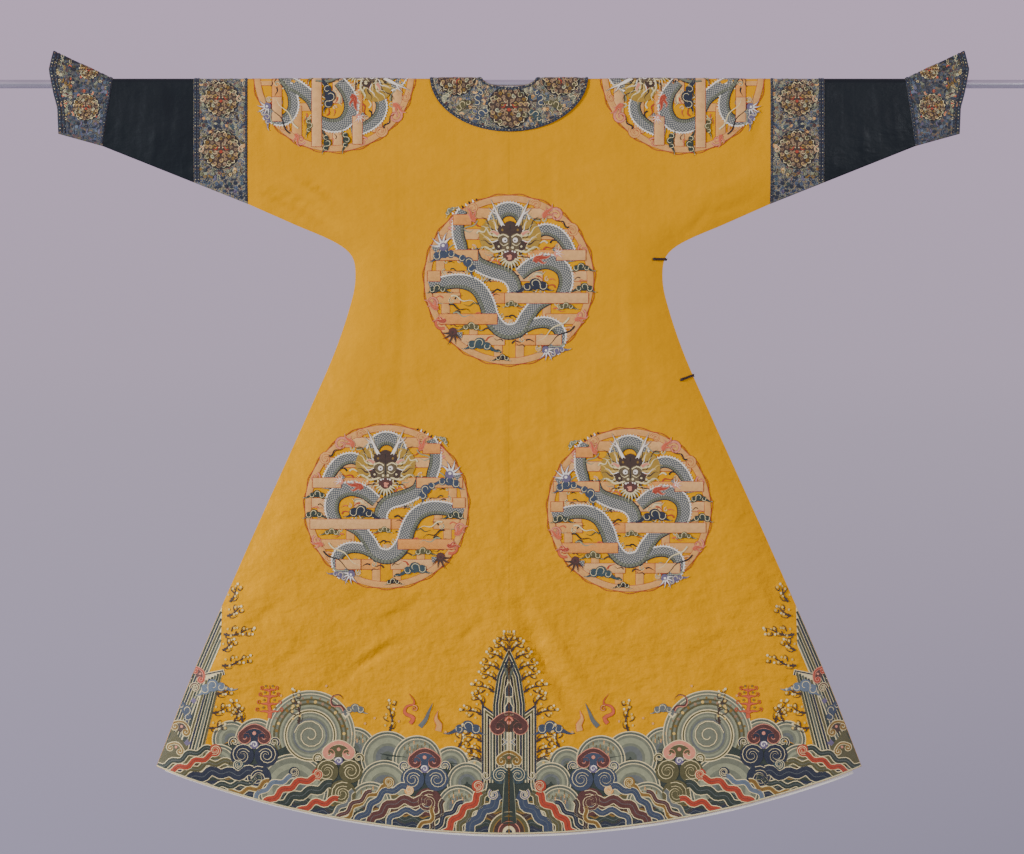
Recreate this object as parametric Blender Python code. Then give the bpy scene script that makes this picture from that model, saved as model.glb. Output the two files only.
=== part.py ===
"""Dragon robe hung flat over a slim rod, made piece by piece as its maker cuts and sews it.

The rod lies along X through the origin and runs through both sleeves. The back of the robe faces -Y
and the front faces +Y. The front laps over to the wearer's right, which is +X. Sizes are in metres.

The body is drawn on flat cloth first: x runs across the robe and s runs along the cloth, from the
front hem (negative) over the rod (zero) to the back hem (positive). The seam lines of all the body
pieces are drawn on that one sheet, so pieces that lie on each other share their points."""

import math

import bmesh
import bpy
import numpy as np
from mathutils import Matrix, Vector
from mathutils.bvhtree import BVHTree
from mathutils.geometry import delaunay_2d_cdt

# Rod
ROD_RADIUS = 0.008
ROD_LENGTH = 2.0
ROD_FACETS = 40

# Cloth wall, and the play between pieces
WALL = 0.0016
SEAM_GAP = 0.0003
LAYER = WALL + SEAM_GAP
ROD_PLAY = 0.0005
FOLD_RADIUS = ROD_RADIUS + ROD_PLAY + WALL / 2
BEND = FOLD_RADIUS * math.pi / 2
SIDE_DEPTH = (WALL + SEAM_GAP) / 2
EASE = 0.07

# Body cut: the shoulder line, the hem and the middle length
BODY_SLEEVE_X = 0.487
HEM_HALF = 0.658
HEM_DROP = 1.398
HEM_RISE = 0.125

SIDE_CUT = (
    # half width, height: from the sleeve seam round the armpit down to the hem corner
    (0.4870, -0.224),
    (0.4010, -0.262),
    (0.3220, -0.297),
    (0.2930, -0.322),
    (0.2865, -0.357),
    (0.2925, -0.400),
    (0.3240, -0.497),
    (0.3725, -0.609),
    (0.4985, -0.889),
    (0.5955, -1.113),
    (HEM_HALF, HEM_RISE - HEM_DROP),
)

# Sleeves, from the body seam outwards. The horseshoe cuff stands up above the rod.
BAND_OUTER_X = 0.588
CUFF_SEAM = ((0.738, 0.011), (0.758, -0.116))
CUFF_EDGE = (
    # x, height of the cuff's free edge, from its top point to its underside
    (0.850, 0.062),
    (0.858, 0.026),
    (0.849, -0.019),
    (0.842, -0.045),
    (0.841, -0.093),
)
CUFF_TOP = 0.062 - WALL / 2
FOLD_STEPS = 4
CUFF_FOLD_STEPS = 5
SLEEVE_ROWS = 5

# Neck hole and the band round it: half width, and reach down the back and down the front
NECK_HALF, NECK_BACK, NECK_FRONT = 0.052, 0.0215, 0.104
COLLAR_HALF, COLLAR_BACK, COLLAR_FRONT = 0.148, 0.1045, 0.164
COLLAR_END_X = 0.012

# Overlap: its curved edge runs from the neck to the right armpit under a band of this width
ARMPIT_DROP = 0.318
OVERLAP_BAND = COLLAR_FRONT - NECK_FRONT

# Lining strip inside the back hem, and how much of it shows at the left and the right corner
LINING_DEEP = 0.05
LINING_INSET = 0.016
LINING_SHOWS = (0.002, 0.007)

HOLLOW = (
    # height, half depth of the hollow between front and back, at the wall's middle
    (0.00, FOLD_RADIUS),
    (-0.15, 0.0105),
    (-0.60, 0.0125),
    (-1.40, 0.0150),
)

FOLDS = (
    # face (1 back, -1 front), x at the hem, x where it fades, height where it fades, half width, rise
    (1, -0.47, -0.26, -0.60, 0.095, 0.0032),
    (1, -0.26, -0.13, -0.78, 0.085, -0.0026),
    (1, -0.04, -0.02, -0.95, 0.080, 0.0022),
    (1, 0.19, 0.11, -0.75, 0.085, -0.0030),
    (1, 0.43, 0.24, -0.58, 0.095, 0.0034),
    (-1, -0.40, -0.22, -0.62, 0.095, 0.0030),
    (-1, -0.15, -0.08, -0.80, 0.085, -0.0026),
    (-1, 0.12, 0.07, -0.72, 0.085, 0.0024),
    (-1, 0.38, 0.21, -0.66, 0.095, -0.0028),
)

# Cloth mesh
GRID = 0.05
BEND_STRETCH = 6.0

# Loops of doubled cord and ball buttons
CORD_RADIUS = 0.0011
CORD_PLAY = 0.0004
SHANK_RADIUS = 0.0012
BALL_RADIUS = 0.0045
EYE_RADIUS = SHANK_RADIUS + SEAM_GAP + CORD_RADIUS
STRAND_HALF = CORD_RADIUS + SEAM_GAP / 2

SIDE_FASTENINGS = (
    # name, height of the sewn end on the back, height where the cord turns the side edge
    ("armpit", -0.327, -0.327),
    ("side", -0.5525, -0.5435),
)
SIDE_SEWN = 0.024
SIDE_BUTTON_IN = 0.016
EDGE_CLEAR = 0.0010

FRONT_FASTENINGS = (
    # name, place along the overlap's edge as a share of its width
    ("neck", 0.17),
    ("chest", 0.50),
)
FRONT_SEWN = 0.020
FRONT_BUTTON_IN = 0.012

YELLOW = (0.62, 0.35, 0.035)
DARK_SILK = (0.012, 0.018, 0.026)
BROCADE = (0.060, 0.075, 0.110)
LINING_SILK = (0.66, 0.66, 0.62)
CORD_BROWN = (0.020, 0.012, 0.010)
BALL_GILT = (0.75, 0.50, 0.16)
ROD_GREY = (0.42, 0.41, 0.45)


def clear_scene():
    for item in list(bpy.data.objects):
        bpy.data.objects.remove(item, do_unlink=True)


def material(name, colour, roughness, metallic=0.0):
    made = bpy.data.materials.new(name)
    made.use_nodes = True
    shader = made.node_tree.nodes["Principled BSDF"]
    shader.inputs["Base Color"].default_value = (*colour, 1.0)
    shader.inputs["Roughness"].default_value = roughness
    shader.inputs["Metallic"].default_value = metallic
    return made


def add_solid(name, points, faces, surface):
    """A closed solid as a node, its faces turned outwards."""
    mesh = bpy.data.meshes.new(name)
    mesh.from_pydata([tuple(map(float, p)) for p in points], [], faces)
    work = bmesh.new()
    work.from_mesh(mesh)
    if work.calc_volume(signed=True) < 0:
        bmesh.ops.reverse_faces(work, faces=work.faces)
    work.to_mesh(mesh)
    work.free()
    mesh.materials.append(surface)
    mesh.shade_smooth()
    mesh.set_sharp_from_angle(angle=math.radians(50))
    node = bpy.data.objects.new(name, mesh)
    bpy.context.collection.objects.link(node)
    return node


# ---- lines on the flat cloth ----


def smooth_step(t):
    t = np.clip(t, 0.0, 1.0)
    return t * t * (3.0 - 2.0 * t)


def smooth_line(corners, step):
    """A rounded line through the corners, cut into steps."""
    corners = np.array(corners, float)
    ends = np.vstack([2 * corners[0] - corners[1], corners, 2 * corners[-1] - corners[-2]])
    line = [corners[0]]
    for before, start, end, after in zip(ends, ends[1:], ends[2:], ends[3:]):
        chord = np.linalg.norm(end - start)
        count = max(1, round(chord / step))
        leave = (end - before) / np.linalg.norm(end - before) * chord
        arrive = (after - start) / np.linalg.norm(after - start) * chord
        for t in np.arange(1, count + 1) / count:
            hold = (2 * t**3 - 3 * t**2 + 1) * start + (3 * t**2 - 2 * t**3) * end
            line.append(hold + (t**3 - 2 * t**2 + t) * leave + (t**3 - t**2) * arrive)
    return np.array(line)


def straight_line(start, end, step):
    start, end = np.array(start, float), np.array(end, float)
    count = max(1, round(np.linalg.norm(end - start) / step))
    return start + (end - start) * np.linspace(0, 1, count + 1)[:, None]


def oval(half, back, front, count):
    """A closed oval round the neck, with its own reach down the back and down the front."""
    turn = np.arange(count) / count * 2 * math.pi
    reach = np.where(np.sin(turn) > 0, back, front)
    return np.stack([half * np.cos(turn), reach * np.sin(turn)], 1)


def closed(line):
    return np.vstack([line, line[:1]])


def inside(x, s, border):
    """Which points lie inside a closed border."""
    found = np.zeros(np.shape(x), bool)
    for (xa, sa), (xb, sb) in zip(border, np.roll(border, -1, 0)):
        if sa != sb:
            found ^= ((sa > s) != (sb > s)) & (x < xa + (s - sa) * (xb - xa) / (sb - sa))
    return found


def distance_to(x, z, line):
    """How far each point lies from a line of straight stretches."""
    here = np.stack(np.broadcast_arrays(x, z), -1)[..., None, :]
    start, run = line[:-1], np.diff(line, axis=0)
    along = np.clip(((here - start) * run).sum(-1) / (run**2).sum(-1), 0, 1)
    return np.linalg.norm(here - start - along[..., None] * run, axis=-1).min(-1)


def hem_s(x):
    return BEND + HEM_DROP - HEM_RISE * (x / HEM_HALF) ** 2


SIDE_LINE = smooth_line(SIDE_CUT, 0.035)
UNDERSIDE = np.array([CUFF_EDGE[-1], CUFF_SEAM[1], SIDE_CUT[0]])
SEAM_LINE = np.vstack([UNDERSIDE, SIDE_LINE[1:]])
NECK_HOLE = oval(NECK_HALF, NECK_BACK, NECK_FRONT, 24)
COLLAR_EDGE = oval(COLLAR_HALF, COLLAR_BACK, COLLAR_FRONT, 32)


def side_x(z):
    """Half width of the body below the armpit at a height."""
    low = SIDE_LINE[SIDE_LINE[:, 1] < -0.30][::-1]
    return np.interp(z, low[:, 1], low[:, 0])


ARMPIT_X = side_x(-ARMPIT_DROP)


def overlap_edge(x):
    """The overlap's curved edge: out from the neck, down the chest and out to the armpit."""
    fall = BEND + ARMPIT_DROP - NECK_FRONT
    return -NECK_FRONT - fall * smooth_step(x / ARMPIT_X)


def overlap_lines():
    """The curved edge, and the lower edge of the band that is sewn along it."""
    x = np.linspace(0, ARMPIT_X, 15)
    edge = np.stack([x, overlap_edge(x)], 1)
    run = np.gradient(edge, axis=0)
    down = np.stack([run[:, 1], -run[:, 0]], 1)
    down /= np.linalg.norm(down, axis=1)[:, None]
    lower = edge + OVERLAP_BAND * down
    lower[0, 0] = 0.0
    return edge, lower


OVERLAP_EDGE, OVERLAP_LOWER = overlap_lines()


# ---- from flat cloth to the hanging robe ----


def half_depth(x, z, face):
    """How far the wall's middle stands from the robe's middle plane."""
    heights, depths = zip(*reversed(HOLLOW))
    full = np.interp(z, heights, depths)
    for side, hem_x, fade_x, fade_z, width, rise in FOLDS:
        down = np.clip((fade_z - z) / (fade_z + HEM_DROP), 0, 1)
        line = fade_x + (hem_x - fade_x) * down
        across = np.clip(np.abs(x - line) / width, 0, 1)
        full = full + (face == side) * rise * down * np.cos(across * math.pi / 2) ** 2
    near = np.clip(distance_to(np.abs(x), z, SEAM_LINE) / EASE, 0, 1)
    return SIDE_DEPTH + (full - SIDE_DEPTH) * np.sin(near * math.pi / 2)


def over_rod(x, s, lift):
    """Where a point of the flat cloth hangs. lift is measured outwards from the wall's middle."""
    face = np.where(s < 0, -1.0, 1.0)
    turn = np.minimum(np.abs(s), BEND) / FOLD_RADIUS
    drop = np.maximum(np.abs(s) - BEND, 0)
    out = np.where(drop > 0, half_depth(x, -drop, face), FOLD_RADIUS)
    y = -face * (out + lift) * np.sin(turn)
    z = (FOLD_RADIUS + lift) * np.cos(turn) - drop
    return np.stack([x, y, z], -1)


def level_flat(x, s):
    return np.zeros(np.shape(x))


def level_left(x, s):
    """The left front comes forward by one layer near the middle, where it meets the overlap."""
    below = smooth_step((-s - BEND) / 0.06)
    inward = smooth_step(distance_to(np.abs(x), BEND - np.abs(s), SEAM_LINE) / 0.10)
    return np.where(x < 0, LAYER * below * inward, 0.0)


def level_one(x, s):
    return np.full(np.shape(x), LAYER)


def level_collar(x, s):
    return LAYER + level_left(x, s)


def level_two(x, s):
    return np.full(np.shape(x), 2 * LAYER)


def level_lining(x, s):
    return np.full(np.shape(x), -LAYER)


# ---- the one sheet that all body pieces are cut from ----


def stretch(s, factor):
    """Widens the narrow bend over the rod, so that the sheet divides into even triangles."""
    return np.sign(s) * (np.minimum(np.abs(s), BEND) * factor + np.maximum(np.abs(s) - BEND, 0))


def unstretch(s):
    wide = BEND * BEND_STRETCH
    return np.sign(s) * (np.minimum(np.abs(s), wide) / BEND_STRETCH + np.maximum(np.abs(s) - wide, 0))


def body_border():
    """The outline of the whole body, front and back, opened out flat."""
    side = SIDE_LINE * [1, -1] + [0, BEND]
    hem_x = np.linspace(HEM_HALF, -HEM_HALF, round(2 * HEM_HALF / GRID) + 1)[1:-1]
    back = np.vstack([side, np.stack([hem_x, hem_s(hem_x)], 1), (side * [-1, 1])[::-1]])
    sleeve_end = straight_line(side[0] * [-1, 1], side[0] * [-1, -1], GRID)[1:-1]
    half = np.vstack([back, sleeve_end])
    return np.vstack([half, half * -1])


def lining_border():
    """The strip inside the back hem, clear of the side seams."""
    low_x = HEM_HALF - LINING_INSET
    high_x = side_x(HEM_RISE - HEM_DROP + LINING_DEEP) - LINING_INSET
    count = round(2 * low_x / GRID) + 1
    low = np.linspace(low_x, -low_x, count)
    high = np.linspace(-high_x, high_x, count)
    lower = np.stack([low, hem_s(low)], 1)
    upper = np.stack([high, hem_s(high) - LINING_DEEP], 1)
    return np.vstack([lower, upper])


def seam_lines(border):
    """Every line that a piece of the body ends on."""
    back, front = hem_s(0.0), -hem_s(0.0)
    collar_end = overlap_edge(COLLAR_END_X)
    lines = [
        closed(border),
        closed(NECK_HOLE),
        closed(COLLAR_EDGE),
        straight_line((0, NECK_BACK), (0, back), GRID),
        straight_line((0, -NECK_FRONT), (0, front), GRID),
        OVERLAP_EDGE,
        OVERLAP_LOWER,
        straight_line((COLLAR_END_X, collar_end), (COLLAR_END_X, collar_end + 0.012), GRID),
        closed(lining_border()),
    ]
    for row in np.linspace(-BEND, BEND, 2 * FOLD_STEPS + 1):
        lines.append(straight_line((-BODY_SLEEVE_X, row), (BODY_SLEEVE_X, row), GRID))
    return lines


def filling_points(border, lines):
    """Even points between the seam lines, none too near one of them."""
    across = np.arange(-HEM_HALF, HEM_HALF, GRID) + GRID / 2
    along = np.arange(GRID * 0.8, HEM_DROP, GRID) + BEND
    x, s = np.meshgrid(across, np.concatenate([-along[::-1], along]))
    keep = inside(x, s, border) & ~inside(x, s, NECK_HOLE)
    for line in lines:
        keep &= distance_to(x, s, line) > GRID * 0.38
    return np.stack([x[keep], s[keep]], 1)


def body_sheet():
    """The sheet's points and its triangles, each wound the same way."""
    border = body_border()
    lines = seam_lines(border)
    points, edges = [], []
    for line in lines:
        first = len(points)
        points.extend(line)
        edges.extend((first + i, first + i + 1) for i in range(len(line) - 1))
    points.extend(filling_points(border, lines))
    flat = [Vector((x, stretch(s, BEND_STRETCH))) for x, s in points]
    found, _, faces, *_ = delaunay_2d_cdt(flat, edges, [], 0, 1e-5)
    sheet = np.array([(p.x, unstretch(p.y)) for p in found])
    triangles = np.array([f for f in faces if len(f) == 3])
    a, b, c = (sheet[triangles[:, i]] for i in range(3))
    turned = (b - a)[:, 0] * (c - a)[:, 1] - (b - a)[:, 1] * (c - a)[:, 0] < 0
    triangles[turned] = triangles[turned][:, ::-1]
    x, s = ((a + b + c) / 3).T
    keep = inside(x, s, border) & ~inside(x, s, NECK_HOLE)
    return sheet, triangles[keep]


def border_edges(triangles):
    """Edges that only one triangle has, in that triangle's winding."""
    edges = np.vstack([triangles[:, [0, 1]], triangles[:, [1, 2]], triangles[:, [2, 0]]])
    known = {(a, b) for a, b in edges.tolist()}
    return np.array([(a, b) for a, b in edges.tolist() if (b, a) not in known])


def pull_in(flat, edges, amount):
    """Moves a piece's border inwards, so that neighbours stand apart by the seam gap."""
    run = flat[edges[:, 1]] - flat[edges[:, 0]]
    inward = np.stack([-run[:, 1], run[:, 0]], 1) / np.linalg.norm(run, axis=1)[:, None]
    total = np.zeros_like(flat)
    np.add.at(total, edges[:, 0], inward)
    np.add.at(total, edges[:, 1], inward)
    size = (total**2).sum(1)
    move = size > 0.05
    moved = flat.copy()
    moved[move] += amount * 2 * total[move] / size[move][:, None]
    return moved


def cut_piece(name, sheet, region, level, surface, reshape=None):
    """A wall over the sheet's triangles in a region, at its own level over the cloth beneath."""
    points, triangles = sheet
    x, s = points[triangles].mean(1).T
    chosen = triangles[region(x, s)]
    used, chosen = np.unique(chosen, return_inverse=True)
    chosen = chosen.reshape(-1, 3)
    edges = border_edges(chosen)
    flat = pull_in(points[used], edges, SEAM_GAP / 2)
    if reshape:
        flat = reshape(flat)
    lift = level(flat[:, 0], flat[:, 1])
    outer = over_rod(flat[:, 0], flat[:, 1], lift + WALL / 2)
    inner = over_rod(flat[:, 0], flat[:, 1], lift - WALL / 2)
    n = len(flat)
    faces = [(a, c, b) for a, b, c in chosen.tolist()]
    faces += [(a + n, b + n, c + n) for a, b, c in chosen.tolist()]
    faces += [(a, b, b + n, a + n) for a, b in edges.tolist()]
    return add_solid(name, np.vstack([outer, inner]), faces, surface)


# ---- body pieces ----


def left_length(sheet, silk):
    """Left back and left front in one length, with no shoulder seam."""
    return cut_piece("left_length", sheet, lambda x, s: x < 0, level_left, silk)


def right_length(sheet, silk):
    """Right back and the inner right front in one length."""
    return cut_piece("right_length", sheet, lambda x, s: x > 0, level_flat, silk)


def front_overlap(sheet, silk):
    """The outer right front, which laps over the inner one."""

    def region(x, s):
        return (x > 0) & (s < 0) & (s < overlap_edge(x)) & ((x < ARMPIT_X) | (s < -ARMPIT_DROP))

    return cut_piece("front_overlap", sheet, region, level_one, silk)


def collar_band(sheet, brocade):
    """The band round the neck, open at the front where the overlap closes over its right end."""

    def region(x, s):
        ring = inside(x, s, COLLAR_EDGE)
        covered = (x > 0) & (s < 0) & ((s < overlap_edge(x)) | (x < COLLAR_END_X))
        return ring & ~covered

    return cut_piece("collar_band", sheet, region, level_collar, brocade)


def overlap_band(sheet, brocade):
    """The band along the overlap's curved edge, from the collar to the armpit."""
    border = np.vstack([OVERLAP_EDGE, OVERLAP_LOWER[::-1]])
    return cut_piece(
        "overlap_band", sheet, lambda x, s: inside(x, s, border), level_two, brocade
    )


def hem_lining(sheet, silk):
    """The lining's turned edge, which peeps out under the back hem."""
    border = lining_border()

    def let_down(flat):
        at_hem = flat[:, 1] > hem_s(flat[:, 0]) - 0.001
        share = (flat[:, 0] + HEM_HALF) / (2 * HEM_HALF)
        shows = LINING_SHOWS[0] + (LINING_SHOWS[1] - LINING_SHOWS[0]) * share
        return np.stack([flat[:, 0], flat[:, 1] + shows * at_hem], 1)

    return cut_piece(
        "hem_lining", sheet, lambda x, s: inside(x, s, border), level_lining, silk, let_down
    )


# ---- sleeve pieces, as tubes through rings ----


def line_x(line, z):
    """x of a seam or edge line at a height."""
    line = np.array(line)[::-1]
    return np.interp(z, line[:, 1], line[:, 0])


def fold_height(x):
    """Height of the sleeve's fold at the wall's middle: on the rod, and rising along the cuff."""
    return np.interp(x, [CUFF_SEAM[0][0], CUFF_EDGE[0][0]], [FOLD_RADIUS, CUFF_TOP])


def underside_height(x):
    line = SEAM_LINE[:3][::-1]
    return np.interp(x, line[:, 0], line[:, 1])


def sleeve_ring(inner, outer, share, fold_steps):
    """Middle points of the wall round one section of a sleeve, and their outward directions."""

    def x_at(z):
        return (1 - share) * line_x(inner, z) + share * line_x(outer, z)

    top = fold_height(x_at(0.0))
    low = underside_height(x_at(0.0))
    for _ in range(6):
        top = fold_height(x_at(top))
        low = underside_height(x_at(low))
    points, outward = [(x_at(top), 0.0, top)], [(0.0, 1.0)]
    for turn in np.arange(1, fold_steps + 1) / fold_steps * math.pi / 2:
        z = top * math.cos(turn)
        points.append((x_at(z), FOLD_RADIUS * math.sin(turn), z))
        away = np.array([top * math.sin(turn), FOLD_RADIUS * math.cos(turn)])
        outward.append(away / np.linalg.norm(away))
    seam_z = low + WALL / 2 + SIDE_DEPTH
    for row in np.arange(1, SLEEVE_ROWS + 1) / SLEEVE_ROWS:
        z = seam_z * math.sin(row * math.pi / 2)
        points.append((x_at(z), float(half_depth(x_at(z), z, 1)), z))
        outward.append((1.0, 0.0))
    points.append((x_at(low), 0.0, low + WALL / 2))
    outward.append((0.0, -1.0))
    points, outward = np.array(points), np.array(outward)
    back = points[-2:0:-1] * [1, -1, 1]
    return np.vstack([points, back]), np.vstack([outward, outward[-2:0:-1] * [-1, 1]])


def sleeve_piece(name, inner, outer, rings, fold_steps, side, surface):
    """A tube between two seam lines, on the wearer's left (side -1) or right (side 1)."""
    sections = [sleeve_ring(inner, outer, r / (rings - 1), fold_steps) for r in range(rings)]
    layers = []
    for offset in (WALL / 2, -WALL / 2):
        for middle, outward in sections:
            moved = middle.copy()
            moved[:, 1:] += outward * offset
            layers.append(moved * [side, 1, 1])
    n = len(layers[0])
    grid = np.arange(2 * rings * n).reshape(2, rings, n)
    after = np.roll(grid, -1, axis=2)
    faces = []
    for r in range(rings - 1):
        faces += zip(grid[0, r], after[0, r], after[0, r + 1], grid[0, r + 1])
        faces += zip(grid[1, r], grid[1, r + 1], after[1, r + 1], after[1, r])
    faces += zip(grid[0, 0], grid[1, 0], after[1, 0], after[0, 0])
    faces += zip(grid[0, -1], after[0, -1], after[1, -1], grid[1, -1])
    faces = [tuple(int(i) for i in f) for f in faces]
    return add_solid(name, np.vstack(layers), faces, surface)


def shifted(line, amount):
    return [(x + amount, z) for x, z in line]


def upright(x):
    return [(x, CUFF_TOP), (x, -HEM_DROP)]


def sleeve(side, word, brocade, satin):
    """Patterned band, plain dark sleeve and horseshoe cuff, each 0.3 mm from the next."""
    half = SEAM_GAP / 2
    pieces = (
        # name, inner seam, outer seam, rings, facets of the fold, cloth
        ("sleeve_band_", upright(BODY_SLEEVE_X + half), upright(BAND_OUTER_X - half), 3, FOLD_STEPS, brocade),
        ("dark_sleeve_", upright(BAND_OUTER_X + half), shifted(CUFF_SEAM, -half), 4, FOLD_STEPS, satin),
        ("cuff_", shifted(CUFF_SEAM, half), CUFF_EDGE, 5, CUFF_FOLD_STEPS, brocade),
    )
    return [sleeve_piece(n + word, i, o, rings, facets, side, cloth) for n, i, o, rings, facets, cloth in pieces]


# ---- rod, loops and buttons ----


def rod(metal):
    work = bmesh.new()
    bmesh.ops.create_cone(
        work,
        cap_ends=True,
        segments=ROD_FACETS,
        radius1=ROD_RADIUS,
        radius2=ROD_RADIUS,
        depth=ROD_LENGTH,
        matrix=Matrix.Rotation(math.pi / 2, 4, "Y"),
    )
    mesh = bpy.data.meshes.new("rod")
    work.to_mesh(mesh)
    work.free()
    mesh.materials.append(metal)
    mesh.shade_smooth()
    mesh.set_sharp_from_angle(angle=math.radians(50))
    node = bpy.data.objects.new("rod", mesh)
    bpy.context.collection.objects.link(node)
    return node


def cloth_tree(nodes):
    """All the cloth walls together, for laying things on them."""
    points, faces = [], []
    for node in nodes:
        first = len(points)
        points.extend(v.co.copy() for v in node.data.vertices)
        faces.extend([first + i for i in f.vertices] for f in node.data.polygons)
    return BVHTree.FromPolygons(points, faces)


def rest_on(tree, x, z, face, lift):
    """A point lifted off the outermost cloth at x, z, and the cloth's outward direction there."""
    spot, outward, *_ = tree.ray_cast(Vector((x, -face, z)), Vector((0, face, 0)))
    return spot + outward * lift, outward


def rest_over(tree, x, z, face, lift):
    """As rest_on, clear of an edge close by."""
    spots = [
        rest_on(tree, x + dx, z + dz, face, lift)[0].y
        for dx in (-CORD_RADIUS, CORD_RADIUS)
        for dz in (-CORD_RADIUS, CORD_RADIUS)
    ]
    return Vector((x, max(spots) if face < 0 else min(spots), z))


def loop_cord(name, spine, beside, eye, outward, surface):
    """A doubled cord whose two strands run side by side and part round a button's shank."""
    strands = [p + beside * STRAND_HALF for p in spine]
    back = [p - beside * STRAND_HALF for p in reversed(spine)]
    ahead = beside.cross(outward).normalized()
    if ahead.dot(eye - spine[-1]) < 0:
        ahead = -ahead
    across = outward.cross(ahead).normalized()
    if across.dot(beside) < 0:
        across = -across
    turn = []
    for degrees in range(50, -231, -40):
        angle = math.radians(degrees)
        around = -ahead * math.sin(angle) + across * math.cos(angle)
        turn.append(eye + around * EYE_RADIUS)
    path = strands + turn + back
    curve = bpy.data.curves.new(name, "CURVE")
    curve.dimensions = "3D"
    curve.bevel_depth = CORD_RADIUS
    curve.bevel_resolution = 1
    curve.use_fill_caps = True
    line = curve.splines.new("POLY")
    line.points.add(len(path) - 1)
    for point, place in zip(line.points, path):
        point.co = (*place, 1.0)
    holder = bpy.data.objects.new(name + "_line", curve)
    bpy.context.collection.objects.link(holder)
    bpy.context.view_layer.update()
    shape = bpy.data.meshes.new_from_object(holder)
    bpy.data.objects.remove(holder, do_unlink=True)
    work = bmesh.new()
    work.from_mesh(shape)
    bmesh.ops.remove_doubles(work, verts=work.verts, dist=1e-6)
    points = [v.co.copy() for v in work.verts]
    faces = [[v.index for v in f.verts] for f in work.faces]
    work.free()
    return add_solid(name, points, faces, surface)


def ball_button(name, foot, outward, surface):
    """A gilt ball on a short shank, turned round its axis."""
    centre = CORD_PLAY + 2 * CORD_RADIUS + SEAM_GAP + BALL_RADIUS * 0.85
    profile = [(0.0, SEAM_GAP), (SHANK_RADIUS, SEAM_GAP)]
    start = math.asin(SHANK_RADIUS / BALL_RADIUS)
    for angle in np.linspace(start, math.pi, 7)[:-1]:
        profile.append((BALL_RADIUS * math.sin(angle), centre - BALL_RADIUS * math.cos(angle)))
    profile.append((0.0, centre + BALL_RADIUS))
    work = bmesh.new()
    ring = [work.verts.new((r, 0, h)) for r, h in profile]
    edges = [work.edges.new(pair) for pair in zip(ring, ring[1:])]
    bmesh.ops.spin(
        work, geom=ring + edges, cent=(0, 0, 0), axis=(0, 0, 1), angle=2 * math.pi, steps=12,
        use_merge=True,
    )
    bmesh.ops.remove_doubles(work, verts=work.verts, dist=1e-6)
    place = Matrix.Translation(foot) @ outward.to_track_quat("Z", "Y").to_matrix().to_4x4()
    work.transform(place)
    work.verts.index_update()
    points = [v.co.copy() for v in work.verts]
    faces = [[v.index for v in f.verts] for f in work.faces]
    work.free()
    return add_solid(name, points, faces, surface)


def side_fastening(tree, word, sewn_z, edge_z, cord, gilt):
    """A loop sewn to the back, led round the side edge to a button on the overlap."""
    lift = CORD_RADIUS + CORD_PLAY
    edge = float(side_x(edge_z))
    spine = []
    for share in (0.0, 0.3, 0.6, 0.88):
        x = edge - SIDE_SEWN * (1 - share)
        z = sewn_z + (edge_z - sewn_z) * share
        spine.append(rest_over(tree, x, z, 1, lift))
    back_y = -(SIDE_DEPTH + WALL / 2 + lift)
    front_y = SIDE_DEPTH + LAYER * (2 if word == "armpit" else 1) + WALL / 2 + lift
    middle, reach = (back_y + front_y) / 2, (front_y - back_y) / 2
    for degrees in (-65, -25, 25, 65):
        angle = math.radians(degrees)
        x = edge + EDGE_CLEAR + lift * math.cos(angle)
        spine.append(Vector((x, middle + reach * math.sin(angle), edge_z)))
    for share in (0.2, 0.5):
        spine.append(rest_over(tree, edge - SIDE_BUTTON_IN * share, edge_z, -1, lift))
    eye, outward = rest_on(tree, edge - SIDE_BUTTON_IN, edge_z, -1, lift)
    loop_cord(word + "_loop", spine, Vector((0, 0, 1)), eye, outward, cord)
    ball_button(word + "_button", eye - outward * lift, outward, gilt)


def front_fastening(tree, word, share, cord, gilt):
    """A loop sewn above the overlap's edge, led down over it to a button on the band."""
    lift = CORD_RADIUS + CORD_PLAY
    x = ARMPIT_X * share
    step = 0.002
    run = Vector((2 * step, 0, overlap_edge(x + step) - overlap_edge(x - step))).normalized()
    down = Vector((run.z, 0, -run.x))
    at_edge = Vector((x, 0, BEND + overlap_edge(x)))
    spine = []
    for reach in (-FRONT_SEWN, -FRONT_SEWN * 0.6, -FRONT_SEWN * 0.25, 0.0, FRONT_BUTTON_IN * 0.5):
        place = at_edge + down * reach
        spine.append(rest_over(tree, place.x, place.z, -1, lift))
    place = at_edge + down * FRONT_BUTTON_IN
    eye, outward = rest_on(tree, place.x, place.z, -1, lift)
    loop_cord(word + "_loop", spine, run, eye, outward, cord)
    ball_button(word + "_button", eye - outward * lift, outward, gilt)


def build():
    clear_scene()
    yellow = material("yellow_satin", YELLOW, 0.45)
    dark = material("dark_satin", DARK_SILK, 0.40)
    brocade = material("patterned_silk", BROCADE, 0.60)
    pale = material("lining_silk", LINING_SILK, 0.60)
    cord = material("loop_cord", CORD_BROWN, 0.70)
    gilt = material("gilt_button", BALL_GILT, 0.30, 1.0)
    metal = material("rod_metal", ROD_GREY, 0.35, 0.9)

    rod(metal)
    sheet = body_sheet()
    cloth = [
        left_length(sheet, yellow),
        right_length(sheet, yellow),
        front_overlap(sheet, yellow),
        collar_band(sheet, brocade),
        overlap_band(sheet, brocade),
        hem_lining(sheet, pale),
    ]
    for side, word in ((-1, "left"), (1, "right")):
        cloth += sleeve(side, word, brocade, dark)
    tree = cloth_tree(cloth)
    for word, sewn_z, edge_z in SIDE_FASTENINGS:
        side_fastening(tree, word, sewn_z, edge_z, cord, gilt)
    for word, share in FRONT_FASTENINGS:
        front_fastening(tree, word, share, cord, gilt)


build()
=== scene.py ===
import math
import random
from contextlib import contextmanager

import bmesh
import bpy
import numpy as np
from mathutils import Matrix, Vector
from mathutils.geometry import delaunay_2d_cdt
from mathutils.kdtree import KDTree


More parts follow.
